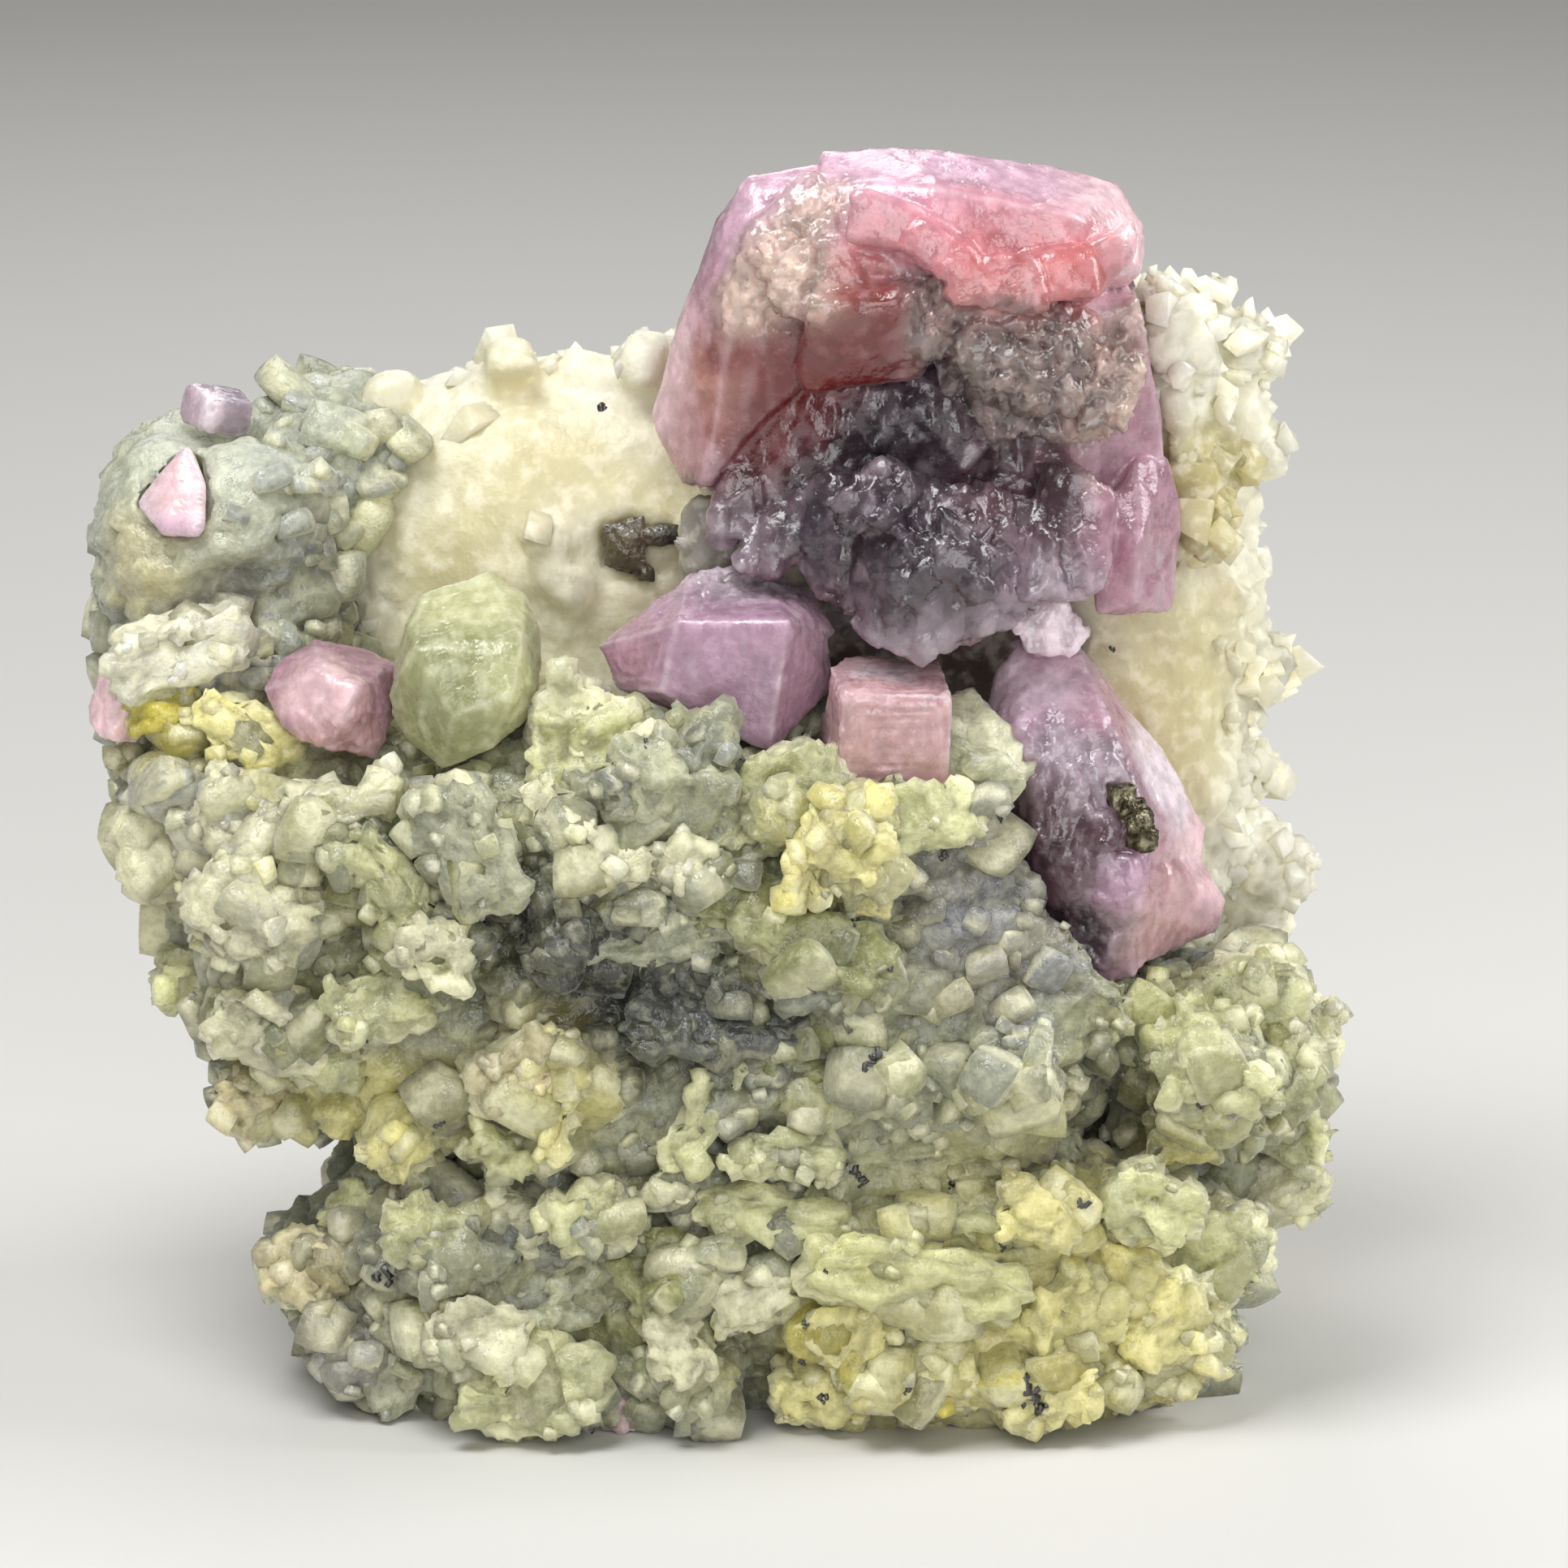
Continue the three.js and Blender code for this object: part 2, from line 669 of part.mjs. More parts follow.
const LEFT_OCTAHEDRON = corners([
  [-3.0, 20.3, -4.5],
  [-0.5, 22.2, -3.5],
  [1.1, 22.4, -3.2],
  [2.6, 21.7, -3.5],
  [3.2, 20.7, -4],
  [3.1, 19.2, -4.5],
  [1.5, 17.5, -6.5],
  [-0.9, 20.9, -6.3],
  [2.0, 20.9, -6.8],
  [-1.3, 19.1, -6.2],
  [-2.4, 19.2, -5],
  [-1.0, 20.5, -1],
  [2.0, 20.5, -1],
  [0.5, 19.0, -1],
]);

const LONG_BODY = corners([
  [7.7, 20.5, -4],
  [9.5, 20.3, -3.8],
  [6.8, 18.1, -5],
  [7.6, 15.4, -5.6],
  [8.1, 13.5, -6],
  [9.75, 11.3, -7],
  [10.9, 11.8, -6.8],
  [12.7, 14.6, -3.4],
  [12.8, 15.6, -3],
  [11.7, 17.6, -3],
  [10.1, 19.2, -3.3],
  [10.3, 18.1, -6.2],
  [10.8, 16.0, -7.2],
  [10.9, 14.0, -7.6],
  [8.0, 18.1, -6.3],
  [8.6, 15.0, -7.2],
  [8.5, 18.5, -1],
  [11.5, 15.0, -0.5],
  [9.5, 13.0, -2],
]);
const LONG_TAIL = corners([
  [10.9, 14.8, -7.2],
  [12.7, 14.8, -3.5],
  [13.4, 13.7, -3.5],
  [13.1, 12.9, -4],
  [11.1, 12.0, -6.6],
  [11.0, 13.5, -7.4],
  [12.0, 13.5, -1.5],
]);
const LONG_CHIP = corners([
  [7.7, 21.0, -5.2],
  [8.6, 21.6, -5],
  [9.2, 21.5, -4.8],
  [9.7, 20.7, -4.8],
  [9.3, 20.1, -5.2],
  [8.1, 20.1, -5.4],
  [8.7, 20.3, -3],
]);

const PINK_DOME = corners([
  [-11.6, 19.2, -5],
  [-11.1, 20.0, -4.5],
  [-10.3, 20.6, -4],
  [-9.0, 20.3, -4],
  [-8.1, 19.9, -4.5],
  [-8.1, 18.5, -5.2],
  [-8.7, 17.5, -6],
  [-9.9, 17.6, -6.5],
  [-11.1, 18.2, -6],
  [-10.0, 19.6, -6.6],
  [-9.1, 19.2, -6.8],
  [-9.4, 18.3, -7],
  [-9.8, 19.5, -2.5],
]);

const GREEN_CRYSTAL = corners([
  [-7.5, 21.7, -5],
  [-5.8, 22.2, -4.5],
  [-4.8, 21.7, -4.5],
  [-4.4, 20.9, -5],
  [-7.9, 20.9, -5.5],
  [-8.3, 19.6, -5.5],
  [-8.4, 18.8, -6],
  [-7.9, 17.9, -6.5],
  [-6.9, 17.1, -7.2],
  [-5.6, 17.6, -7.4],
  [-4.5, 18.5, -6.5],
  [-7.6, 20.2, -7],
  [-4.8, 20.4, -7],
  [-6.6, 18.5, -7.8],
  [-5.1, 19.0, -7.6],
  [-7.5, 20.0, -3],
  [-5.0, 20.0, -3],
  [-6.4, 18.5, -3.5],
]);

const KNOB_WEDGE = corners([
  [-13.6, 25.4, -1.9],
  [-13.3, 24.4, -2.6],
  [-13.3, 23.3, -3.1],
  [-14.1, 23.3, -3.0],
  [-14.7, 24.0, -2.2],
  [-13.6, 24.8, 0],
  [-14.2, 24.4, 0],
]);

// A dark patch of graphite, three ragged arms let into the marble.
const GRAPHITE = [
  [
    [-2.85, 23.5, -0.6],
    [-1.8, 23.7, -0.6],
    [-1.7, 22.5, -0.7],
    [-2.1, 22.1, -0.6],
    [-2.9, 22.4, -0.6],
    [-2.4, 23.0, -0.9],
    [-2.4, 23.2, 0.8],
  ],
  [
    [-2.1, 23.4, -0.6],
    [-0.9, 23.5, -0.5],
    [-0.9, 23.0, -0.6],
    [-1.8, 22.9, -0.7],
    [-1.4, 23.2, -0.8],
    [-1.4, 23.4, 0.5],
  ],
  [
    [-2.0, 22.6, -0.6],
    [-1.5, 22.4, -0.6],
    [-1.5, 22.0, -0.6],
    [-2.0, 22.0, -0.6],
    [-1.8, 22.2, -0.8],
    [-1.8, 22.4, 0.3],
  ],
].map(corners);

// In this order, each crystal is cut back from the ones before it.
const CRYSTALS = [
  { name: "pyrite_grains", finish: FINISH.pyrite, blocks: PYRITE },
  {
    name: "spinel_large",
    finish: FINISH.spinel_pink,
    blocks: [LARGE_HEART, LARGE_CAP, LARGE_ARM, LARGE_BOSS, LARGE_SHARD, LARGE_BLOCK, LARGE_ROOT],
  },
  { name: "spinel_left_octahedron", finish: FINISH.spinel_violet, blocks: [LEFT_OCTAHEDRON] },
  {
    name: "spinel_pink_block",
    finish: FINISH.spinel_pink,
    blocks: [blockCorners({ at: [4.5, 18.3, -6], half: [1.45, 1.5, 1.3], cut: 0.22, turn: [4, 3, 8] })],
  },
  { name: "spinel_long", finish: FINISH.spinel_violet, blocks: [LONG_BODY, LONG_TAIL, LONG_CHIP] },
  { name: "spinel_pink_dome", finish: FINISH.spinel_pink, blocks: [PINK_DOME] },
  { name: "forsterite_crystal", finish: FINISH.forsterite_crystal, blocks: [GREEN_CRYSTAL] },
  {
    name: "spinel_left_edge",
    finish: FINISH.spinel_pink,
    blocks: [
      blockCorners({ at: [-15.3, 18.8, -3.4], half: [0.6, 0.65, 0.75], cut: 0.4, turn: [10, 20, 30] }),
    ],
  },
  { name: "spinel_knob_wedge", finish: FINISH.spinel_pink, blocks: [KNOB_WEDGE] },
  {
    name: "spinel_crest",
    finish: FINISH.spinel_violet,
    blocks: [blockCorners({ at: [-12.9, 26.5, 0.7], half: [0.7, 0.7, 0.5], cut: 0.35, turn: [0, 12, 25] })],
  },
  { name: "graphite_patch", finish: FINISH.graphite, blocks: GRAPHITE },
];

// Assembly.

function build() {
  const underneath = solid(new THREE.BoxGeometry(REACH, REACH, REACH).translate(0, 0, -REACH / 2));
  const made = new Map();
  let sockets = null;
  for (const { name, blocks } of CRYSTALS) {
    const whole = join(blocks.map(hull));
    made.set(name, mainBody(sockets ? whole.subtract(sockets) : whole));
    const socket = join(blocks.map((points) => hull(pushedOut(points, 2 * SOCKET_GAP))));
    sockets = sockets ? sockets.add(socket) : socket;
  }

  const slab = marbleSlab(0);
  const rhombs = marbleRhombs(slab);
  const marble = join([slab, ...rhombs.map(rhomb)]).subtract(sockets).subtract(underneath);
  const grownRhombs = rhombs.map((crystal) => rhomb({ ...crystal, half: crystal.half + 1.5 * SOCKET_GAP }));
  const clearOfMarble = join([marbleSlab(SOCKET_GAP), ...grownRhombs]);

  const massif = join([...CRUST_BLOCKS.map(hull), ...CRUST_BOULDERS.map(boulder)]);
  const grains = join(crustGrains(bodyToMeet(massif)));
  const crust = massif.add(grains).subtract(clearOfMarble).subtract(sockets).subtract(underneath);
  made.set("forsterite_crust", mainBody(crust));
  made.set("marble", mainBody(marble));
  return made;
}

const finishes = new Map(CRYSTALS.map(({ name, finish }) => [name, finish]));
finishes.set("forsterite_crust", FINISH.forsterite);
finishes.set("marble", FINISH.marble);

const specimen = new THREE.Group();
for (const [name, made] of build()) {
  const mesh = new THREE.Mesh(geometryOf(made), new THREE.MeshStandardMaterial(finishes.get(name)));
  mesh.name = name;
  specimen.add(mesh);
}

// The origin goes under the middle of the whole.
const box = new THREE.Box3().setFromObject(specimen);
specimen.position.set(-(box.min.x + box.max.x) / 2, -(box.min.y + box.max.y) / 2, -box.min.z);

export default specimen;
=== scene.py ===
# %% [markdown]
# # Spinel specimen
#
# A thumbnail-size rock: pink and violet spinel crystals sit on white marble, and a crust of
# olive-green forsterite grains covers the front and the base. The solids of the frame give every
# mineral its place and its main faces. This lesson dresses them: each solid is copied, given a fine
# mesh, and then roughened, coloured and sprinkled with grains the way the mineral itself would be.

# %% Load the frame
import itertools
import math

import bmesh
import bpy
import numpy as np
from mathutils import Euler, Matrix, Vector
from mathutils.bvhtree import BVHTree
from mathutils.kdtree import KDTree


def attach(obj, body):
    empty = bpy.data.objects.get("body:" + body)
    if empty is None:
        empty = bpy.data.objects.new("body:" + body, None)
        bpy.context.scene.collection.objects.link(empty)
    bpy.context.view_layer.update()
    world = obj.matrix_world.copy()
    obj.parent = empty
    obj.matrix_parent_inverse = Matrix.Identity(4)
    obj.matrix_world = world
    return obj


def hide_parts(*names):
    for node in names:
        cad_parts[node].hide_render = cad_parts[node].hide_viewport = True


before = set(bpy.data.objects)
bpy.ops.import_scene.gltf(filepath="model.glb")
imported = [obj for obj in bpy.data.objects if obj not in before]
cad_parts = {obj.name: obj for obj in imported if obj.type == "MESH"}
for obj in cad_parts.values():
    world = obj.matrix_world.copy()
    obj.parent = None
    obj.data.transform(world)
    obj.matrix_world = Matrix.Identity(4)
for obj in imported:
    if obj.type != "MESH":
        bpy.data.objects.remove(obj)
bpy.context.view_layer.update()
MM = 0.001

# %% [markdown]
# ## The camera
#
# The photograph looks down on the specimen by about fifteen degrees. One corner of the largest
# crystal, its highest point, is easy to find both in the picture and in the solid, so the camera is
# aimed to bring the two together. A long lens keeps the perspective weak, as in a close-up picture.
# The same numbers then turn any pixel of the photograph into a line of sight, which is how colours
# and grains are put in their places later.

# %% Camera
IMAGE = 1932  # pixels each way
PIXELS_PER_MM = 48
PITCH = math.radians(15)
EYE_DISTANCE = 300 * MM
SENSOR = 36  # millimetres
CLIP = (0.01, 10)  # metres
TOP_CORNER_PIXEL = (1112, 181)

RIGHT = Vector((1, 0, 0))
SIGHT = Vector((0, math.cos(PITCH), -math.sin(PITCH)))
UPWARD = Vector((0, math.sin(PITCH), math.cos(PITCH)))
PIXEL = MM / PIXELS_PER_MM


def in_picture(px, py):
    """How far a pixel lies from the middle of the picture, as a step in the picture's plane."""
    return RIGHT * ((px - IMAGE / 2) * PIXEL) + UPWARD * ((IMAGE / 2 - py) * PIXEL)


top_corner = max((v.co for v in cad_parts["spinel_large"].data.vertices), key=lambda co: co.z)
aim = top_corner - in_picture(*TOP_CORNER_PIXEL)
eye = aim - SIGHT * EYE_DISTANCE

camera_data = bpy.data.cameras.new("camera")
camera_data.sensor_width = SENSOR
camera_data.lens = SENSOR * EYE_DISTANCE / (IMAGE * PIXEL)
camera_data.clip_start, camera_data.clip_end = CLIP
camera = bpy.data.objects.new("camera", camera_data)
camera.location = eye
camera.rotation_euler = SIGHT.to_track_quat("-Z", "Y").to_euler()
bpy.context.scene.collection.objects.link(camera)
bpy.context.scene.camera = camera
print("lens in mm:", round(camera_data.lens, 1))

# %% [markdown]
# ## Finding a place by its pixel
#
# A tree of the solid's triangles answers two questions quickly: where a line of sight first meets
# the solid, and which point of the solid is nearest. Both are asked often below.

# %% Lines of sight


MARBLE_PIXEL = (600, 580)


def tree_of(mesh):
    """A search tree of a mesh's faces."""
    return BVHTree.FromPolygons([v.co for v in mesh.vertices], [p.vertices for p in mesh.polygons])


solid_tree = {name: tree_of(node.data) for name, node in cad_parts.items()}


def sight_line(px, py):
    """The direction from the eye through a pixel."""
    return (aim + in_picture(px, py) - eye).normalized()


def seen_at(px, py, tree):
    """The point of a solid that the photograph shows at a pixel, or the nearest point to that line."""
    way = sight_line(px, py)
    hit = tree.ray_cast(eye, way)[0]
    return hit if hit else tree.find_nearest(eye + way * EYE_DISTANCE)[0]


print("pixel", MARBLE_PIXEL, "on the marble:", seen_at(*MARBLE_PIXEL, solid_tree["marble"]))

# %% [markdown]
# ## Repeatable noise
#
# Rock is never even, so nearly every step needs noise. Three kinds are enough. Hashed numbers give
# every cell of a grid its own fixed chance. Soft noise blends those chances smoothly. The cell
# pattern scatters one centre in each cell and finds the nearest, which makes packed grains, each
# with its own facet and a crease around it. The same seed always gives the same rock.

# %% Noise
CELL_MIX = np.array([374761393, 668265263, 2147483647])  # large odd numbers, so that no pattern shows
SEED_MIX, FIRST_MIX, SECOND_MIX = 974634777, 1274126177, 668265263
LAST_BITS = 0xFFFFFF


def chance(cells, seed):
    """One number from 0 to 1 for each row of whole-number cell positions."""
    mixed = cells @ CELL_MIX + seed * SEED_MIX
    mixed = (mixed ^ (mixed >> 13)) * FIRST_MIX
    mixed = (mixed ^ (mixed >> 16)) * SECOND_MIX
    return ((mixed ^ (mixed >> 15)) & LAST_BITS) / float(LAST_BITS + 1)


def chances(cells, seed):
    """Three such numbers for each row."""
    return np.stack([chance(cells, seed + axis) for axis in range(3)], axis=1)


def soft_noise(points, size, seed):
    """Smooth noise from -1 to 1 whose blobs are about one size across."""
    p = points / size
    home = np.floor(p).astype(np.int64)
    blend = p - home
    blend = blend * blend * (3 - 2 * blend)
    total = np.zeros(len(points))
    for step in itertools.product((0, 1), repeat=3):
        share = np.prod(np.where(np.array(step) == 1, blend, 1 - blend), axis=1)
        total += share * chance(home + np.array(step), seed)
    return 2 * total - 1


def packed_grains(points, size, seed, stretch=(1, 1, 1), slope=0.5, dome=0.5, lift=0.4):
    """Packed grains of a size: the height and the distance to the edge in parts of it, and chances.

    Slope tilts each grain's own facet, dome rounds it, and lift sets whole grains higher or lower.
    """
    p = points / (size * np.array(stretch))
    home = np.floor(p).astype(np.int64)
    nearest = np.full(len(p), math.inf)
    second = np.full(len(p), math.inf)
    offset = np.zeros_like(p)
    picked = np.zeros_like(home)
    for step in itertools.product((-1, 0, 1), repeat=3):
        cell = home + np.array(step)
        away = p - cell - chances(cell, seed)
        distance = np.linalg.norm(away, axis=1)
        closer = distance < nearest
        second = np.where(closer, nearest, np.minimum(second, distance))
        nearest = np.where(closer, distance, nearest)
        offset[closer] = away[closer]
        picked[closer] = cell[closer]
    edge = second - nearest
    tone = chance(picked, seed + 7)
    tilted = 2 * slope * np.sum(offset * (chances(picked, seed + 20) - 0.5), axis=1)
    rounded = 1 - (1 - np.clip(edge / 0.5, 0, 1)) ** 2
    return tilted + dome * (rounded - 0.6) + lift * (tone - 0.5), edge, chances(picked, seed + 40)


print("chances of three cells:", chance(np.arange(9).reshape(3, 3), 1).round(2))

# %% [markdown]
# ## Pebbles
#
# Some forms of the rock are only rounded lumps on a larger piece. A pebble is a cube that is made
# uneven, subdivided and smoothed until no sharp edge is left. A dozen different ones are enough,
# because each is stretched and turned before it is joined to a piece.

# %% Pebbles
PEBBLES = 12
PEBBLE_CUTS = 4
PEBBLE_ROUNDS = 4


def soften(bm, rounds):
    """Rounds a bmesh off: each vertex moves half way to the middle of its neighbours."""
    for _ in range(rounds):
        bmesh.ops.smooth_vert(
            bm, verts=bm.verts, factor=0.5, use_axis_x=True, use_axis_y=True, use_axis_z=True
        )


def pebble(seed):
    """A rounded uneven block, about one unit long, for lumps."""
    shape = np.random.default_rng(seed)
    bm = bmesh.new()
    bmesh.ops.create_cube(bm, size=1)
    for v in bm.verts:
        v.co += Vector(shape.uniform(-0.2, 0.2, 3))
        v.co *= shape.uniform(0.85, 1.1)
    bmesh.ops.subdivide_edges(bm, edges=bm.edges, cuts=PEBBLE_CUTS, use_grid_fill=True)
    soften(bm, PEBBLE_ROUNDS)
    mesh = bpy.data.meshes.new("pebble")
    bm.to_mesh(mesh)
    bm.free()
    return mesh


pebbles = [pebble(seed) for seed in range(PEBBLES)]
print("faces in a pebble:", len(pebbles[0].polygons))

# %% [markdown]
# ## Fine copies of the solids
#
# The triangles of a solid are large and too few to roughen. A voxel remesh covers it with small even
# quads. For crystals, every new vertex is then snapped back to the solid, so the flat faces stay
# truly flat. The crust and the marble are smoothed instead, because their solids stand for lumps.

# %% Fine copies
WELD = 0.001 * MM  # closer points are one point


def new_piece(name, mesh):
    """An object of a mesh, put into the scene."""
    piece = bpy.data.objects.new(name, mesh)
    bpy.context.scene.collection.objects.link(piece)
    return piece


def fine_copy(node_name, name, voxel, smooth=0, lumps=()):
    """A closed, finely meshed copy of a solid, with pebbles joined to it where matrices put them."""
    piece = new_piece(name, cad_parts[node_name].data.copy())
    piece.data.materials.clear()
    bm = bmesh.new()
    bm.from_mesh(piece.data)
    bmesh.ops.remove_doubles(bm, verts=bm.verts, dist=WELD)
    for i, matrix in enumerate(lumps):
        lump = pebbles[i % len(pebbles)].copy()
        lump.transform(matrix)
        bm.from_mesh(lump)
    bm.to_mesh(piece.data)
    bm.free()
    target = tree_of(piece.data)
    modifier = piece.modifiers.new("remesh", "REMESH")
    modifier.mode = "VOXEL"
    modifier.voxel_size = voxel
    fine = bpy.data.meshes.new_from_object(piece.evaluated_get(bpy.context.evaluated_depsgraph_get()))
    piece.modifiers.clear()
    piece.data = fine
    bm = bmesh.new()
    bm.from_mesh(fine)
    soften(bm, smooth)
    if not smooth:
        for v in bm.verts:
            v.co = target.find_nearest(v.co)[0]
    bm.to_mesh(fine)
    bm.free()
    fine.shade_smooth()
    print(name, "has", len(fine.polygons), "faces")
    return piece


# %% [markdown]
# ## Relief and colour
#
# Relief is made by moving every vertex along its normal, in or out by its own height. Nothing goes below
# the floor, so the base stays flat. Colour is stored in the mesh itself, as an attribute with one value
# for each vertex or each corner of a face. It needs no picture, and it stays with the surface.

# %% Relief and colour
DARKEST, BRIGHTEST = 0.002, 0.92  # limits of a mineral's colour


def points_of(piece):
    """The vertices of a piece as rows of numbers."""
    flat = np.empty(3 * len(piece.data.vertices), np.float32)
    piece.data.vertices.foreach_get("co", flat)
    return flat.reshape(-1, 3).astype(float)


def swell(piece, height):
    """Moves each vertex along its normal by its own height, and keeps the base flat."""
    normals = np.empty(3 * len(piece.data.vertices), np.float32)
    piece.data.vertices.foreach_get("normal", normals)
    moved = points_of(piece) + normals.reshape(-1, 3) * height[:, None]
    moved[:, 2] = np.maximum(moved[:, 2], 0)
    piece.data.vertices.foreach_set("co", moved.astype(np.float32).ravel())
    piece.data.update()


def paint(piece, colours, domain="POINT"):
    """Stores one colour for each vertex, or for each corner of the faces, for the material to read."""
    with_alpha = np.concatenate([np.clip(colours, DARKEST, BRIGHTEST), np.ones((len(colours), 1))], axis=1)
    layer = piece.data.attributes.new("tint", "FLOAT_COLOR", domain)
    layer.data.foreach_set("color", with_alpha.astype(np.float32).ravel())


# %% [markdown]
# ## Seating a block by its pixel
#
# A grain that the photograph shows clearly is given by the pixel of its middle, its length and width
# in pixels and its turn in the picture. It lies on the solid at that place, half sunk, and faces
# partly outwards and partly towards the viewer.

# %% Seat a block
OUTWARDS, TO_VIEWER = 0.4, 0.6  # shares of the two directions that a block faces


def block_at(px, py, length, width, turn, lift, tree, thick=0.7):
    """The matrix that brings a block of one unit to its place, size and turn on a solid."""
    way = sight_line(px, py)
    spot, normal = tree.ray_cast(eye, way)[:2]
    if spot is None:
        spot, normal = tree.find_nearest(eye + way * EYE_DISTANCE)[:2]
    angle = math.radians(turn)
    along = RIGHT * math.cos(angle) + UPWARD * math.sin(angle)
    side = (normal * OUTWARDS - SIGHT * TO_VIEWER).cross(along).normalized()
    front = along.cross(side)
    columns = [along * length * PIXEL, side * width * PIXEL, front * thick * width * PIXEL]
    turned = Matrix(columns).transposed().to_4x4()
    return Matrix.Translation(spot + front * lift * thick * width * PIXEL) @ turned


# %% [markdown]
# ## Colour by zone
#
# A mineral changes colour slowly from place to place. A few named zones, each with a middle, a reach
# and a colour, are enough: every vertex takes the average of the zones around it, weighted by
# distance. The middles are given as pixels of the photograph and are found on the solid, so the
# colour belongs to the rock and stays put from every side.

# %% Zones of colour
RAGGED = 0.5 * MM  # how far the border of a zone strays
RAGGED_SIZE = 1.1 * MM
BASE_SHARE = 0.04  # of the ground colour, where no zone reaches


def linear(code):
    """An sRGB hex colour as linear red, green and blue."""
    parts = [int(code[i : i + 2], 16) / 255 for i in (1, 3, 5)]
    return np.array([c / 12.92 if c <= 0.04045 else ((c + 0.055) / 1.055) ** 2.4 for c in parts])


def zone_shares(points, zones, tree):
    """One column for each zone: how much of it reaches each point."""
    stray = np.stack([soft_noise(points, RAGGED_SIZE, 60 + axis) for axis in range(3)], axis=1)
    ragged = points + RAGGED * stray
    shares = []
    for px, py, reach, *_ in zones:
        distance = np.linalg.norm(ragged - np.array(seen_at(px, py, tree)), axis=1)
        shares.append(np.exp(-((distance / (reach * PIXEL)) ** 2)))
    return np.stack(shares, axis=1)


def zone_tint(points, palette, base, zones, tree):
    """The colour of each point, from zones that name a colour of a palette."""
    base_share = np.full((len(points), 1), BASE_SHARE)
    shares = np.concatenate([base_share, zone_shares(points, zones, tree)], axis=1)
    colours = np.array([linear(palette[name]) for name in [base] + [zone[3] for zone in zones]])
    return shares @ colours / shares.sum(axis=1, keepdims=True)


def towards(colours, code, amount):
    """Moves colours part of the way to another, by an amount for each row."""
    amount = np.clip(amount, 0, 1)[:, None]
    return colours * (1 - amount) + linear(code) * amount


print("middle grey in linear light:", linear("#808080").round(3))

# %% [markdown]
# ## Materials
#
# Materials are built from nodes, and one small function adds a node with its settings and links.
# All the minerals here share one recipe, because they differ only in how polished, how clear and how
# gritty they are. The colour comes from the tint that the mesh carries. A cloudy noise mottles it,
# lays pale flecks over it and makes the polish uneven, and two sizes of bumps give the fine grit. The
# Principled shader scatters some light under the surface, which is the cloudy glow of a crystal, and
# a little sheen stands for the frost on it.

# %% Node helper


def node(tree, kind, settings=None, inputs=None):
    """Adds a node; an input that is an output socket becomes a link, and any other a value."""
    made = tree.nodes.new(kind)
    for key, value in (settings or {}).items():
        setattr(made, key, value)
    for key, value in (inputs or {}).items():
        socket = next(s for i, s in enumerate(made.inputs) if s.enabled and key in (i, s.name))
        if isinstance(value, bpy.types.NodeSocket):
            tree.links.new(value, socket)
        else:
            socket.default_value = value
    return made


# %% [markdown]
# ## One recipe for every mineral
#
# Polish is the range of roughness, scatter the share of light that goes under the surface, and radius
# how many millimetres it travels there in red, green and blue. Mottle and fleck change the colour,
# grit is the size of the smallest bumps, relief their strength, and frost the amount of sheen.

# %% Mineral recipe
CLOUD_SIZE = 3  # in grits
CLOUD_DETAIL, FINE_DETAIL = 3.0, 2.0  # finer layers of the noise
FINE_HEIGHT = 0.4  # of the height of the larger bumps
MOTTLE_RANGE = (0.3, 0.7)  # parts of the cloudy noise that each effect uses
FLECK_RANGE = (0.5, 0.66)
POLISH_RANGE = (0.35, 0.65)
FROST_ROUGHNESS = 0.35


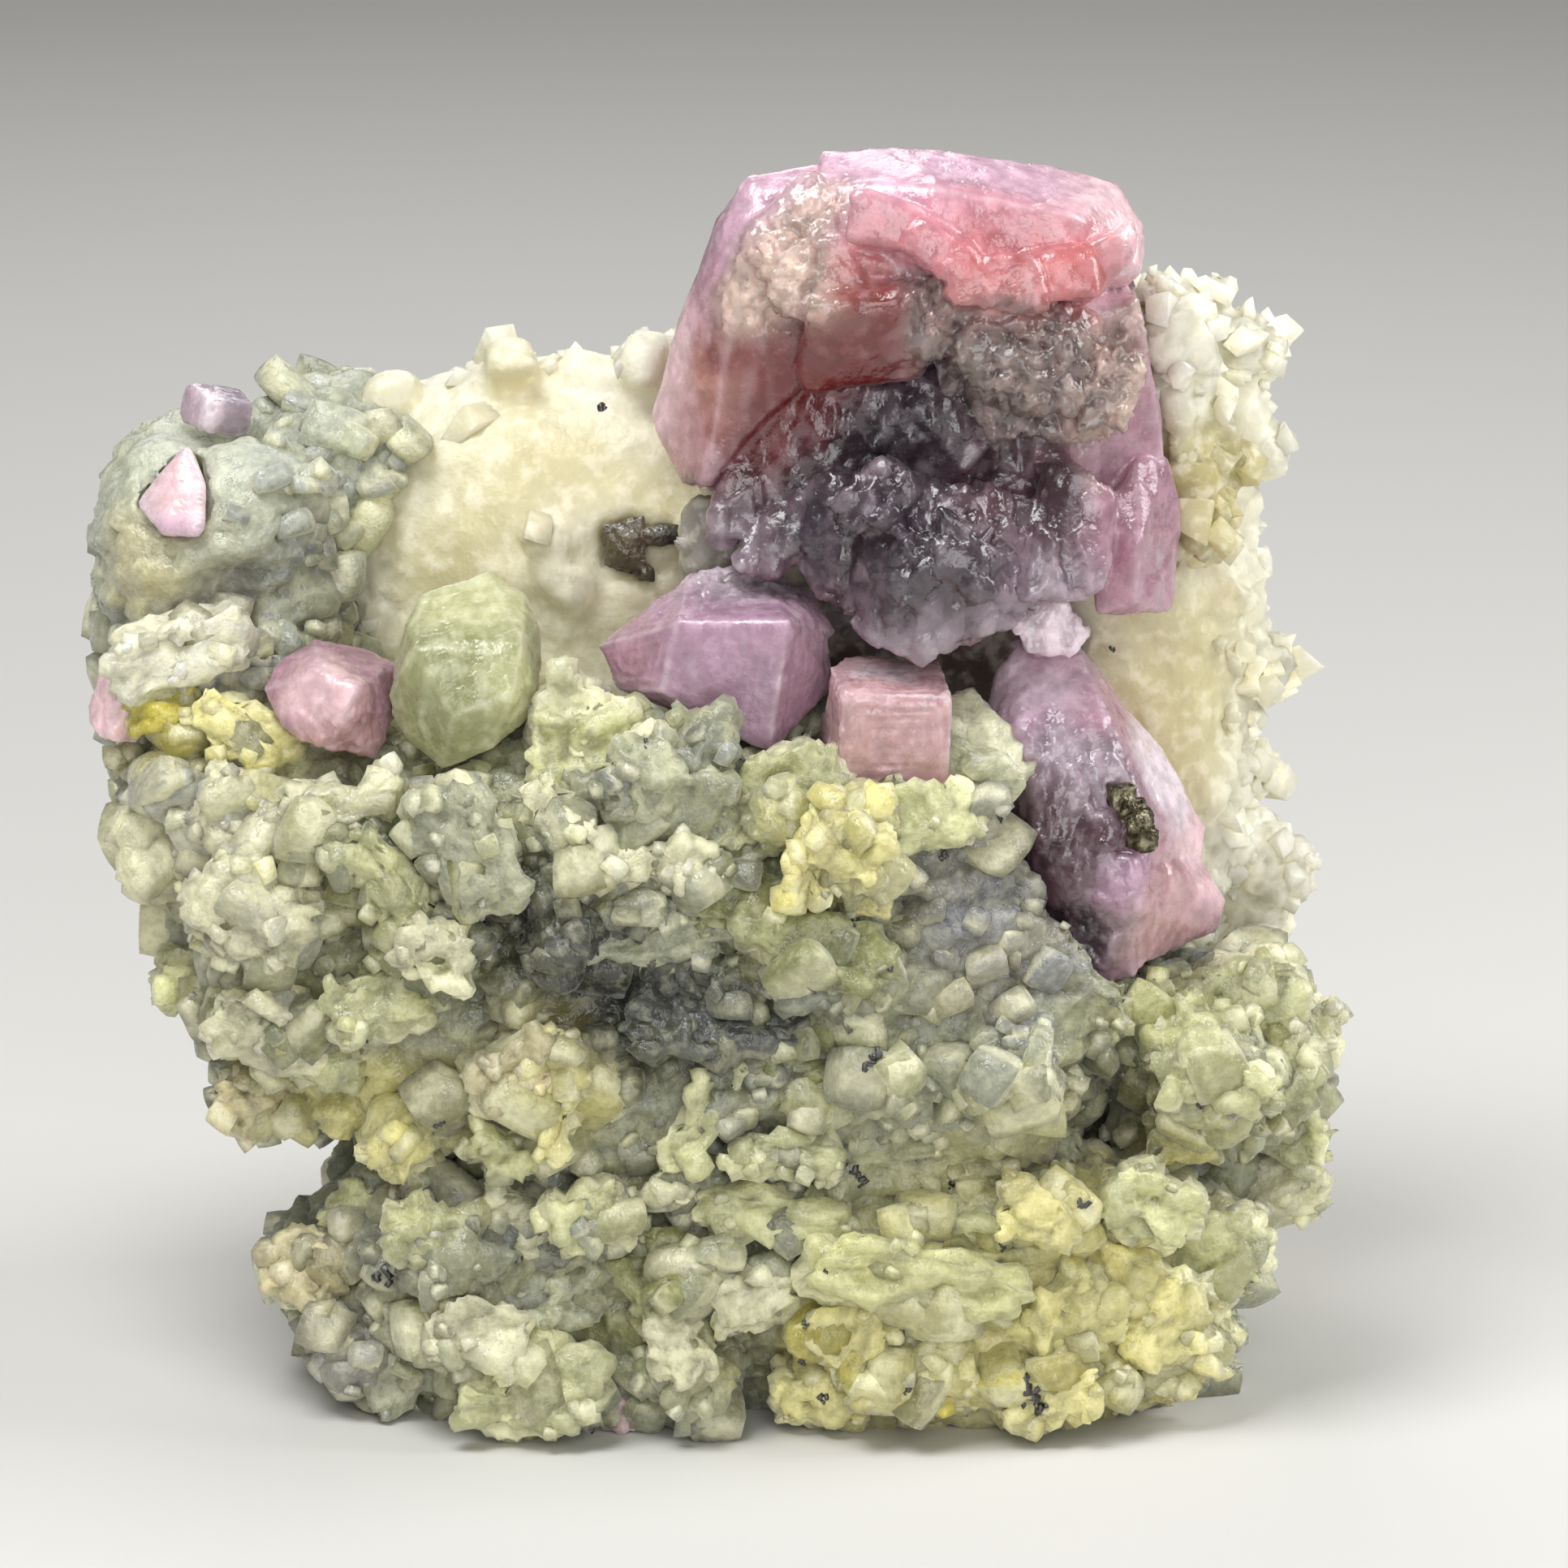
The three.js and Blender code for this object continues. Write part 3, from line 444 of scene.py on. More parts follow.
def mineral(name, polish, ior, scatter, radius, mottle, fleck, grit, relief, frost, metal=0.0):
    """A mineral: mesh tint with a mottle and pale flecks, uneven polish, and two sizes of bumps."""
    material = bpy.data.materials.new(name)
    material.use_nodes = True
    tree = material.node_tree
    tree.nodes.clear()
    place = node(tree, "ShaderNodeTexCoord").outputs["Object"]
    tint = node(tree, "ShaderNodeAttribute", {"attribute_name": "tint"}).outputs["Color"]
    cloud = node(
        tree,
        "ShaderNodeTexNoise",
        inputs={"Vector": place, "Scale": 1 / (CLOUD_SIZE * grit), "Detail": CLOUD_DETAIL},
    ).outputs["Fac"]
    fine = node(
        tree, "ShaderNodeTexNoise", inputs={"Vector": place, "Scale": 1 / grit, "Detail": FINE_DETAIL}
    ).outputs["Fac"]
    effects = {}
    for effect, (start, end), (least, most) in (
        ("mottle", MOTTLE_RANGE, (1 - mottle, 1 + mottle)),
        ("fleck", FLECK_RANGE, (0.0, fleck[1])),
        ("polish", POLISH_RANGE, polish),
    ):
        ends = {"From Min": start, "From Max": end, "To Min": least, "To Max": most}
        stretched = node(tree, "ShaderNodeMapRange", inputs={"Value": cloud, **ends})
        effects[effect] = stretched.outputs["Result"]
    mottled = node(
        tree, "ShaderNodeVectorMath", {"operation": "SCALE"}, {0: tint, "Scale": effects["mottle"]}
    )
    flecked = node(
        tree,
        "ShaderNodeMix",
        {"data_type": "RGBA"},
        {"Factor": effects["fleck"], "A": mottled.outputs["Vector"], "B": (*linear(fleck[0]), 1)},
    )
    bumps = node(tree, "ShaderNodeBump", inputs={"Height": cloud, "Strength": relief, "Distance": grit})
    fine_bumps = node(
        tree,
        "ShaderNodeBump",
        inputs={
            "Height": fine,
            "Strength": relief,
            "Distance": FINE_HEIGHT * grit,
            "Normal": bumps.outputs["Normal"],
        },
    )
    shader = node(
        tree,
        "ShaderNodeBsdfPrincipled",
        {"subsurface_method": "BURLEY"},
        {
            "Base Color": flecked.outputs[2],
            "Roughness": effects["polish"],
            "IOR": ior,
            "Subsurface Weight": scatter,
            "Subsurface Radius": radius,
            "Subsurface Scale": MM,
            "Metallic": metal,
            "Sheen Weight": frost,
            "Sheen Roughness": FROST_ROUGHNESS,
            "Normal": fine_bumps.outputs["Normal"],
        },
    )
    node(tree, "ShaderNodeOutputMaterial", inputs={"Surface": shader.outputs["BSDF"]})
    print("material", name, "has", len(tree.nodes), "nodes")
    return material


def dress(piece, material, slot, *nodes):
    """Gives a piece its material and tells the frame what it rides on and what it replaces."""
    piece.data.materials.clear()
    piece.data.materials.append(material)
    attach(piece, "root")
    if nodes:
        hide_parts(*nodes)


# %% [markdown]
# ## Calcite
#
# Calcite marble is white and waxy. Light goes over a millimetre into it, red and green furthest, and
# comes back as a soft creamy glow, so its scatter is wide and its bumps are weak.

# %% Marble: white calcite, waxy, with light scattered deep under the surface
calcite = mineral(
    "calcite marble",
    polish=(0.35, 0.6),
    ior=1.6,
    scatter=0.4,
    radius=(1.4, 1.2, 0.6),
    mottle=0.07,
    fleck=("#fffbe8", 0.4),
    grit=0.16 * MM,
    relief=0.35,
    frost=0.1,
)

# %% [markdown]
# ## Forsterite
#
# The crust is forsterite in small frosted grains: gritty to the touch, with a pale bloom and little
# glints. The one large crystal is the same mineral, but smoother and clearer, so it has a material of
# its own with more scatter and less relief.

# %% Forsterite: frosted olive grains, half clear at their edges
forsterite = mineral(
    "forsterite",
    polish=(0.2, 0.5),
    ior=1.65,
    scatter=0.35,
    radius=(0.9, 0.9, 0.5),
    mottle=0.14,
    fleck=("#f0eec8", 0.14),
    grit=0.1 * MM,
    relief=0.8,
    frost=0.35,
)

# %% Clear forsterite: the same mineral in one large crystal, smooth and even
clear_forsterite = mineral(
    "forsterite crystal",
    polish=(0.18, 0.4),
    ior=1.65,
    scatter=0.6,
    radius=(1.0, 1.0, 0.6),
    mottle=0.12,
    fleck=("#eeeed8", 0.2),
    grit=0.14 * MM,
    relief=0.4,
    frost=0.2,
)

# %% [markdown]
# ## Spinel
#
# Spinel is hard and glassy, with a high index of refraction, so its faces shine more than those of
# the other minerals. It is cloudy inside. Red light travels furthest, which warms its thin edges.

# %% Spinel: glassy and strongly coloured, glowing where light comes through
spinel = mineral(
    "spinel",
    polish=(0.14, 0.36),
    ior=1.72,
    scatter=0.5,
    radius=(0.9, 0.5, 0.6),
    mottle=0.18,
    fleck=("#e6d3df", 0.05),
    grit=0.14 * MM,
    relief=0.35,
    frost=0.05,
)

# %% [markdown]
# ## Graphite and pyrite
#
# These two let no light in, so they have no scatter. Graphite is nearly black with a greasy shine.
# Pyrite is the only metal here: it keeps the shader's own index of refraction.

# %% Graphite: soft black flakes with a greasy shine
graphite = mineral(
    "graphite",
    polish=(0.3, 0.55),
    ior=2.0,
    scatter=0.0,
    radius=(0.1, 0.1, 0.1),
    mottle=0.35,
    fleck=("#6a6352", 0.4),
    grit=0.1 * MM,
    relief=0.8,
    frost=0.0,
)

# %% Pyrite: a dark brassy metal, with painted shadow in the low parts of its break
pyrite = mineral(
    "pyrite",
    polish=(0.22, 0.5),
    ior=1.5,
    scatter=0.0,
    radius=(0.1, 0.1, 0.1),
    mottle=0.35,
    fleck=("#cfc8ac", 0.5),
    grit=0.1 * MM,
    relief=0.8,
    frost=0.0,
    metal=0.9,
)

# %% [markdown]
# ## The marble
#
# The marble is a slab of tightly packed calcite. Its face is softly rounded and waxy, and only its
# rim shows the separate crystals. A few lumps are joined to the fine copy first, where the marble
# reaches round the large crystal. Slow noise makes the face uneven, and packed grains break it up
# where a zone is marked as rough. The back, which no zone reaches, gets larger tilted steps, as marble
# breaks along its cleavage.

# %% Marble slab
# Calcite is white, creamy where it is thick, lemon where a little forsterite is mixed in.
CALCITE = {
    "white": "#e8e5d2",
    "cream": "#d8ce9c",
    "lemon": "#b9ad72",
    "cloud": "#857d80",
    "shade": "#5d4549",
}
MARBLE_ZONES = [  # pixel, reach in pixels, colour, roughness
    (610, 600, 140, "cream", 0.02),
    (560, 480, 80, "white", 0.05),
    (750, 470, 70, "white", 0.04),
    (420, 560, 60, "white", 0.1),
    (420, 740, 70, "white", 0.3),
    (690, 690, 60, "white", 0.1),
    (1440, 450, 60, "white", 0.35),
    (1490, 600, 60, "lemon", 0.35),
    (1510, 380, 70, "white", 0.4),
    (1440, 880, 90, "cream", 0.06),
    (1550, 900, 80, "white", 0.45),
    (1560, 1100, 80, "white", 0.4),
    (890, 660, 40, "cloud", 0.3),
    # These shade zones are painted shadow on the marble under the tongue of the large spinel.
    (1055, 775, 45, "shade", 0.1),
    (1190, 815, 45, "shade", 0.1),
    (1320, 785, 30, "shade", 0.1),
]
MARBLE_LUMPS = [  # pixel, length, width, turn in degrees, lift
    (1446, 420, 100, 80, 20, 0.15),
    (1440, 480, 110, 70, -10, 0.15),
    (1446, 540, 100, 75, 15, 0.15),
    (1480, 600, 150, 60, 85, 0.2),
    (1462, 660, 90, 60, 60, 0.2),
    (672, 665, 48, 26, 10, -0.25),
    (700, 720, 44, 38, 45, -0.25),
]
MARBLE_VOXEL = 0.22 * MM
LARGE_CALCITE, SMALL_CALCITE, CLEAVAGE_STEP = 0.9 * MM, 0.4 * MM, 3.2 * MM
MARBLE_CREASE_SHADE = "#8f8a6c"
marble_roughness = np.array([zone[4] for zone in MARBLE_ZONES])
marble_tree = solid_tree["marble"]
ridge = [block_at(*lump, marble_tree) for lump in MARBLE_LUMPS]
marble = fine_copy("marble", "marble_slab", MARBLE_VOXEL, smooth=2, lumps=ridge)
p = points_of(marble)
shares = zone_shares(p, MARBLE_ZONES, marble_tree)
rough = (shares @ marble_roughness + 0.01) / (shares.sum(axis=1) + 0.05)
height, edge, grain_chances = packed_grains(p, LARGE_CALCITE, 5, slope=0.6, dome=0.4)
fine = packed_grains(p, SMALL_CALCITE, 6, slope=0.6, dome=0.4)[0]
slow = 0.2 * soft_noise(p, 3 * MM, 3) + 0.07 * soft_noise(p, 0.9 * MM, 4)
steps = packed_grains(p, CLEAVAGE_STEP, 8, (1, 1, 0.7), slope=0.9, dome=0.0, lift=0.7)[0]
cleavage = steps / (1 + 25 * shares.sum(axis=1))
# Heights are in millimetres.
swell(marble, MM * (0.12 + rough * (1.1 * height + 0.4 * fine) + 0.55 * cleavage + slow + 0.05 * fine))
colours = zone_tint(p, CALCITE, "white", MARBLE_ZONES, marble_tree)
colours = colours * (1 + 0.5 * rough * (grain_chances[:, 0] - 0.5))[:, None]
# Painted shade: where the marble is rough, the creases between the calcite grains are darkened.
colours = towards(colours, MARBLE_CREASE_SHADE, 1.2 * rough * np.exp(-((edge / 0.12) ** 2)))
paint(marble, colours)
dress(marble, calcite, "marble", "marble")

# %% [markdown]
# ## The colours of the crust
#
# Forsterite runs from clear pale green to yellow, with grey, slate and near-black smoky places; the
# darkest zones lie mostly on the dented hollows. The palette names these colours as they look on the rock.
# Each zone then says where one of them lies on the crust and how far it reaches.

# %% Crust colours
FORSTERITE = {
    "frosted": "#c9cdb8",
    "chalk": "#fbf9e0",
    "pale": "#e4e2bd",
    "green": "#c8c998",
    "grey_green": "#b6b89a",
    "olive": "#a0a26c",
    "moss": "#8c8f62",
    "lime": "#d9d79c",
    "yellow": "#e8e09a",
    "deep_yellow": "#cbbe52",
    "grey": "#a3a19b",
    "slate": "#5d605a",
    "smoke": "#2b2d28",
    "tan": "#d2c79a",
    "rosy": "#cdb2b0",
    "rim": "#f0f1d2",
}
CRUST_ZONES = [  # pixel, reach in pixels, colour
    (240, 600, 120, "frosted"),
    (170, 690, 45, "tan"),
    (265, 740, 45, "grey"),
    (230, 810, 60, "chalk"),
    (240, 905, 45, "deep_yellow"),
    (250, 1070, 110, "pale"),
    (330, 1240, 60, "moss"),
    (380, 1330, 50, "yellow"),
    (500, 1060, 90, "olive"),
    (630, 1130, 55, "smoke"),
    (770, 1210, 75, "smoke"),
    (760, 1195, 50, "smoke"),
    (780, 1225, 45, "smoke"),
    (880, 1250, 75, "slate"),
    (800, 960, 110, "grey_green"),
    (1030, 1040, 60, "yellow"),
    (960, 1130, 80, "moss"),
    (1220, 1120, 70, "grey"),
    (1520, 1290, 100, "green"),
    (1395, 1385, 40, "smoke"),
    (960, 1440, 110, "grey_green"),
    (910, 1420, 40, "smoke"),
    (1420, 1490, 90, "yellow"),
    (1250, 1670, 150, "yellow"),
    (1270, 1690, 60, "deep_yellow"),
    (1010, 1650, 50, "deep_yellow"),
    (600, 1620, 140, "grey_green"),
    (480, 1560, 40, "smoke"),
    (380, 1560, 40, "tan"),
    (420, 1690, 45, "grey"),
    (780, 1600, 60, "olive"),
    (500, 1390, 55, "yellow"),
    (690, 1330, 55, "yellow"),
    (400, 520, 70, "frosted"),
]
print("crust:", len(FORSTERITE), "colours in", len(CRUST_ZONES), "zones")

# %% [markdown]
# ## The crust
#
# The crust is a mass of forsterite grains grown into each other. Its body is the ground that the
# separate grains will sit on. Three layers of packed grains, from about two millimetres down to half
# a millimetre, give it ledges, lumps and a gritty skin, and the smooth knob is kept calm. Dents are
# sunk where the photograph shows hollows, and a groove runs around every crystal, so that the crystals
# stand free. Each packed grain shifts the colour a little, and painted shade darkens the low places.

# %% Crust body
CRUST_DENTS = [  # pixel, reach in pixels, depth in millimetres
    (270, 745, 45, 0.9),
    (910, 1420, 40, 0.8),
    (1395, 1385, 45, 0.9),
    (770, 1215, 40, 0.6),
    (950, 930, 40, 0.7),
    (420, 1425, 40, 0.8),
    (650, 1110, 40, 0.5),
    (480, 1560, 35, 0.6),
    (1130, 1290, 40, 0.5),
]
KNOB = (235, 600, 120)  # pixel and reach of the smooth knob
CRUST_VOXEL = 0.21 * MM
BROAD_GRAIN, MIDDLE_GRAIN, FINE_GRAIN = 1.9 * MM, 0.95 * MM, 0.45 * MM
GROOVE_DEPTH, GROOVE_REACH = 0.3, 0.6 * MM  # the depth in millimetres
CRUST_HOLLOW_SHADE = "#403d22"
YELLOWER = np.array([0.25, 0.22, 0.0])  # more red and green
CRYSTALS = [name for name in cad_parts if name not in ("marble", "forsterite_crust")]
FAR = 1.0  # metres, farther than anything here
SEARCH = 1.5 * MM


def crystal_distance(points):
    """How far each point is from the nearest crystal of any kind, or far if none is close."""
    nearest = np.full(len(points), FAR)
    for name in CRYSTALS:
        hits = [solid_tree[name].find_nearest(point, SEARCH)[3] for point in points]
        nearest = np.minimum(nearest, [FAR if hit is None else hit for hit in hits])
    return nearest


crust_tree = solid_tree["forsterite_crust"]
crust = fine_copy("forsterite_crust", "crust_body", CRUST_VOXEL, smooth=1)
p = points_of(crust)
broad, _, broad_chances = packed_grains(p, BROAD_GRAIN, 11, (1.5, 1, 0.75), slope=0.8, dome=0.25)
middle, _, middle_chances = packed_grains(p, MIDDLE_GRAIN, 12, (1.4, 1, 0.75), slope=1.1, dome=0.3)
fine = packed_grains(p, FINE_GRAIN, 13, slope=1.1, dome=0.3)[0]
smooth_share = np.clip(1.5 * zone_shares(p, [KNOB], crust_tree)[:, 0], 0, 1)
calm = 1 - 0.85 * smooth_share
height = calm * (0.5 * broad + 0.3 * middle + 0.05 * fine) + 0.05 * fine
dents = zone_shares(p, CRUST_DENTS, crust_tree) @ np.array([dent[3] for dent in CRUST_DENTS])
groove = GROOVE_DEPTH * np.exp(-((crystal_distance(p) / GROOVE_REACH) ** 2))
swell(crust, MM * (0.05 + height - dents - groove))
hue = (broad_chances[:, 1] + middle_chances[:, 1] - 1)[:, None]
crust_tint = zone_tint(p, FORSTERITE, "grey_green", CRUST_ZONES, crust_tree)
crust_tint = crust_tint * (1 + hue * calm[:, None] * YELLOWER)
# Painted shade: the low places of the crust are darkened towards a dark olive.
low = np.clip((0.05 - height) / 0.4, 0, 1)
crust_tint = towards(crust_tint * (1 - 0.3 * calm)[:, None], CRUST_HOLLOW_SHADE, 0.6 * calm * low)
paint(crust, crust_tint)
dress(crust, forsterite, "forsterite", "forsterite_crust")

# %% [markdown]
# ## Grains
#
# The grains themselves are blocks with worn edges, in three kinds: boulders for the large grains that
# can be told apart in the photograph, nuggets for the middle ones and chips for the small ones. A few
# versions of each are made once with bmesh, from a cube that is jittered, cut and rounded. Chips and
# nuggets are repeated many hundred times, so they have only a few dozen faces. Calcite breaks into
# sheared blocks with flat faces, so its grains are bevelled instead. Each shape also knows where a
# painted glow goes: the pale light that would leave a grain through its edges.

# %% Grain shapes
rng = np.random.default_rng(7)
VERSIONS = 12  # of each worn shape
RHOMB_VERSIONS = 6
RHOMB_SHEAR, RHOMB_JITTER, RHOMB_BEVEL = 0.4, 0.2, 0.05
RHOMB_PALE = 0.3
BLOCK_SIZE = 1.15  # rounding brings it down to about one unit


def arrays_of(bm, pale):
    """The points and faces of a bmesh, with how pale each corner of its faces is."""
    bm.verts.index_update()
    points = np.array([v.co for v in bm.verts])
    faces = [[v.index for v in f.verts] for f in bm.faces]
    bm.free()
    return points, faces, np.concatenate([pale(points)[face] for face in faces])


def worn_block(cuts, jitter, rounds):
    """A block one unit long, made uneven and then rounded, with a painted glow around its middle height.
    """
    bm = bmesh.new()
    bmesh.ops.create_cube(bm, size=BLOCK_SIZE)
    for v in bm.verts:
        v.co += Vector(rng.uniform(-jitter, jitter, 3))
    bmesh.ops.subdivide_edges(bm, edges=bm.edges, cuts=cuts, use_grid_fill=True)
    soften(bm, rounds)
    return arrays_of(bm, lambda points: np.clip(1.4 - 3.3 * np.abs(points[:, 2]), 0, 1))


def rhomb():
    """A sheared block with narrow bevels, as calcite breaks."""
    bm = bmesh.new()
    bmesh.ops.create_cube(bm, size=1)
    for v in bm.verts:
        v.co.x += RHOMB_SHEAR * v.co.z
        v.co += Vector(rng.uniform(-RHOMB_JITTER, RHOMB_JITTER, 3))
    bmesh.ops.bevel(
        bm, geom=bm.edges[:], offset=RHOMB_BEVEL, affect="EDGES", segments=1, profile=0.5, material=-1
    )
    return arrays_of(bm, lambda points: np.full(len(points), RHOMB_PALE))


chips = [worn_block(cuts=1, jitter=0.2, rounds=1) for _ in range(VERSIONS)]
nuggets = [worn_block(cuts=2, jitter=0.22, rounds=2) for _ in range(VERSIONS)]
boulders = [worn_block(cuts=10, jitter=0.2, rounds=13) for _ in range(VERSIONS)]
rhombs = [rhomb() for _ in range(RHOMB_VERSIONS)]
print("faces in each kind of grain:", [len(kind[0][1]) for kind in (chips, nuggets, boulders, rhombs)])

# %% [markdown]
# ## Joining the grains
#
# Thousands of objects would be slow, so all the grains of a kind become one mesh. Each grain is a copy
# of one of the shapes, moved by its own matrix, and no grain goes below the floor. Its colour is stored
# by the corners of the faces, which keeps the painted glow of its outline crisp. A dark grain has less of
# it.

# %% Join grains


def joined(name, shapes, matrices, tints, rim_code, rim_amount):
    """One mesh of copies of a few shapes, each with its matrix and its tint, with a painted pale glow
    along its edges.
    """
    all_points, all_faces, all_tints, start = [], [], [], 0
    for matrix, colour in zip(matrices, tints):
        points, faces, pale = shapes[rng.integers(len(shapes))]
        all_points.append(points @ np.array(matrix.to_3x3()).T + np.array(matrix.translation))
        all_faces += [[start + i for i in face] for face in faces]
        glow = rim_amount * min(1, 4 * np.mean(colour))
        all_tints.append(towards(np.tile(colour, (len(pale), 1)), rim_code, glow * pale))
        start += len(points)
    points = np.concatenate(all_points)
    points[:, 2] = np.maximum(points[:, 2], 0)
    mesh = bpy.data.meshes.new(name)
    mesh.from_pydata(points, [], all_faces)
    mesh.shade_smooth()
    piece = new_piece(name, mesh)
    paint(piece, np.concatenate(all_tints), "CORNER")
    print(name, "joins", len(tints), "grains,", len(all_faces), "faces")
    return piece


def shade_corners(piece, bright):
    """Makes a piece's corner colours lighter or darker by a factor for each vertex."""
    vertex = np.empty(len(piece.data.loops), np.int32)
    piece.data.loops.foreach_get("vertex_index", vertex)
    layer = piece.data.attributes["tint"].data
    colours = np.empty(4 * len(layer), np.float32)
    layer.foreach_get("color", colours)
    colours = colours.reshape(-1, 4) * np.append(np.ones(3), 0)
    colours = np.clip(colours * bright[vertex][:, None], 0, BRIGHTEST) + np.array([0, 0, 0, 1])
    layer.foreach_set("color", colours.astype(np.float32).ravel())


# %% [markdown]
# ## The large grains
#
# In the photograph these are clusters: several grains grown together into one lump. So each boulder is
# listed by the pixel of its middle and seated there, a little more than half sunk, and then swollen by
# packed grains of two sizes. Each part of a cluster has its own brightness, and painted shade darkens
# the seams between the parts.

# %% Large grains
NAMED_GRAINS = [  # pixel, length, width, turn in degrees, colour
    (230, 800, 150, 85, 20, "chalk"),
    (305, 905, 115, 55, -28, "yellow"),
    (205, 865, 80, 50, 15, "deep_yellow"),
    (320, 1135, 125, 95, -30, "pale"),
    (290, 1010, 110, 75, -35, "pale"),
    (205, 1030, 100, 85, 30, "pale"),
    (430, 995, 130, 60, 8, "pale"),
    (470, 1085, 125, 55, -55, "green"),
    (520, 1135, 110, 50, -50, "green"),
    (545, 1170, 95, 70, -20, "pale"),
    (565, 1050, 135, 95, -65, "grey_green"),
    (480, 1235, 115, 60, 10, "green"),
    (250, 1200, 110, 70, 10, "green"),
    (245, 1280, 120, 70, -15, "pale"),
    (330, 1240, 100, 65, 30, "green"),
    (400, 1290, 110, 70, -10, "green"),
    (310, 1350, 95, 60, 25, "tan"),
    (500, 1390, 95, 80, 60, "yellow"),
    (550, 1430, 70, 50, 0, "yellow"),
    (640, 1320, 100, 70, 35, "tan"),
    (690, 1340, 110, 60, 70, "yellow"),
    (640, 1415, 95, 50, 15, "green"),
    (700, 880, 80, 85, -20, "pale"),
    (725, 925, 110, 95, 0, "green"),
    (812, 955, 95, 80, -60, "grey_green"),
    (820, 990, 150, 80, 5, "grey_green"),
    (690, 1015, 90, 40, -50, "pale"),
    (722, 1048, 75, 34, -65, "pale"),
    (785, 1068, 75, 42, 12, "pale"),
    (745, 1090, 90, 40, -10, "pale"),
    (858, 1062, 70, 52, 10, "pale"),
    (905, 1010, 100, 60, 20, "green"),
    (820, 1155, 150, 50, 5, "grey_green"),
    (930, 1120, 120, 60, -15, "olive"),
    (1005, 1165, 150, 75, -25, "olive"),
    (985, 975, 100, 80, 10, "green"),
    (1000, 1060, 95, 40, 75, "yellow"),
    (1045, 1045, 70, 60, -20, "yellow"),
    (1050, 1110, 90, 40, -8, "yellow"),
    (1180, 960, 120, 110, -40, "grey_green"),
    (1130, 1010, 120, 70, 10, "green"),
    (880, 1265, 170, 40, -4, "slate"),
    (1010, 1300, 150, 55, -12, "olive"),
    (862, 1385, 125, 42, 62, "green"),
    (828, 1435, 75, 34, 82, "pale"),
    (965, 1420, 125, 42, -5, "green"),
    (957, 1492, 150, 54, -3, "green"),
    (1122, 1583, 225, 72, -9, "lime"),
    (1090, 1500, 120, 60, -8, "green"),
    (1220, 1500, 100, 60, -15, "green"),
    (1528, 1475, 165, 70, 10, "pale"),
    (1300, 1420, 68, 46, 78, "grey_green"),
    (1352, 1428, 62, 36, -75, "green"),
    (1285, 1498, 85, 66, -10, "yellow"),
    (1418, 1495, 100, 80, -25, "green"),
    (1500, 1550, 105, 90, 15, "green"),
    (1390, 1575, 100, 60, -25, "yellow"),
    (1330, 1625, 95, 75, 30, "yellow"),
    (1440, 1640, 105, 85, 20, "yellow"),
    (1045, 1640, 90, 75, 40, "yellow"),
    (1200, 1690, 110, 70, 15, "deep_yellow"),
    (1010, 1712, 90, 65, 10, "yellow"),
    (1255, 1645, 105, 70, -10, "yellow"),
    (1300, 1712, 100, 55, 8, "yellow"),
    (1400, 1705, 95, 55, 10, "yellow"),
    (1626, 1270, 75, 48, 80, "pale"),
    (1540, 1230, 110, 80, 20, "green"),
    (1480, 1260, 100, 70, -25, "green"),
    (1580, 1330, 100, 70, 40, "green"),
    (1500, 1340, 110, 60, -15, "green"),
    (1590, 1390, 80, 50, -35, "green"),
    (378, 1567, 90, 70, 65, "tan"),
    (430, 1500, 85, 65, 40, "green"),
    (535, 1525, 90, 65, -10, "green"),
    (640, 1510, 85, 60, -35, "pale"),
    (730, 1500, 80, 65, 20, "green"),
    (805, 1570, 85, 80, 25, "olive"),
    (700, 1600, 95, 65, 30, "grey_green"),
    (600, 1640, 95, 80, -10, "pale"),
    (680, 1705, 120, 80, 10, "green"),
    (840, 1660, 100, 55, -50, "pale"),
    (640, 1735, 120, 55, 0, "green"),
    (500, 1690, 90, 60, 30, "grey_green"),
    (930, 1600, 90, 55, 20, "pale"),
    (755, 1742, 65, 40, 0, "rosy"),
]
GRAIN_LIFT, GRAIN_THICKNESS = -0.2, 0.9  # in thicknesses and in widths of the grain
CLUSTER_PART, CLUSTER_BUMP = 1.1 * MM, 0.5 * MM
# The colour and strength of the painted glow along the grains' edges.
GRAIN_GLOW, RIM_AMOUNT = "#f5f2cf", 0.6
seated = [block_at(*grain[:5], GRAIN_LIFT, crust_tree, GRAIN_THICKNESS) for grain in NAMED_GRAINS]
tints = [linear(FORSTERITE[grain[5]]) * rng.uniform(0.7, 0.92) for grain in NAMED_GRAINS]
large_grains = joined("large_grains", boulders, seated, tints, GRAIN_GLOW, RIM_AMOUNT)
p = points_of(large_grains)
lumpy, seam, lump_chances = packed_grains(p, CLUSTER_PART, 14, slope=1.2, lift=0.6)
swell(large_grains, MM * (0.3 * lumpy + 0.24 * packed_grains(p, CLUSTER_BUMP, 15, slope=1.2)[0]))
# Its own brightness for each part, and painted shade in the seams between the parts.
bright = (0.85 + 0.4 * lump_chances[:, 0]) * (1 - 0.35 * np.exp(-((seam / 0.1) ** 2)))
large_tint = np.repeat(np.array(tints), len(boulders[0][0]), axis=0) * bright[:, None]
shade_corners(large_grains, bright)
dress(large_grains, forsterite, "forsterite")

# %% [markdown]
# ## Scattering
#
# The smaller grains are too many to list. Random spots are spread over a mesh by the area of its
# triangles. A spot is given up if another solid is close above or below it, because no grain grows
# there. Each grain then gets a matrix that turns it to the surface, tips it a little at random and
# sinks part of it into the ground.

# %% Scatter
TIP = 0.5  # radians


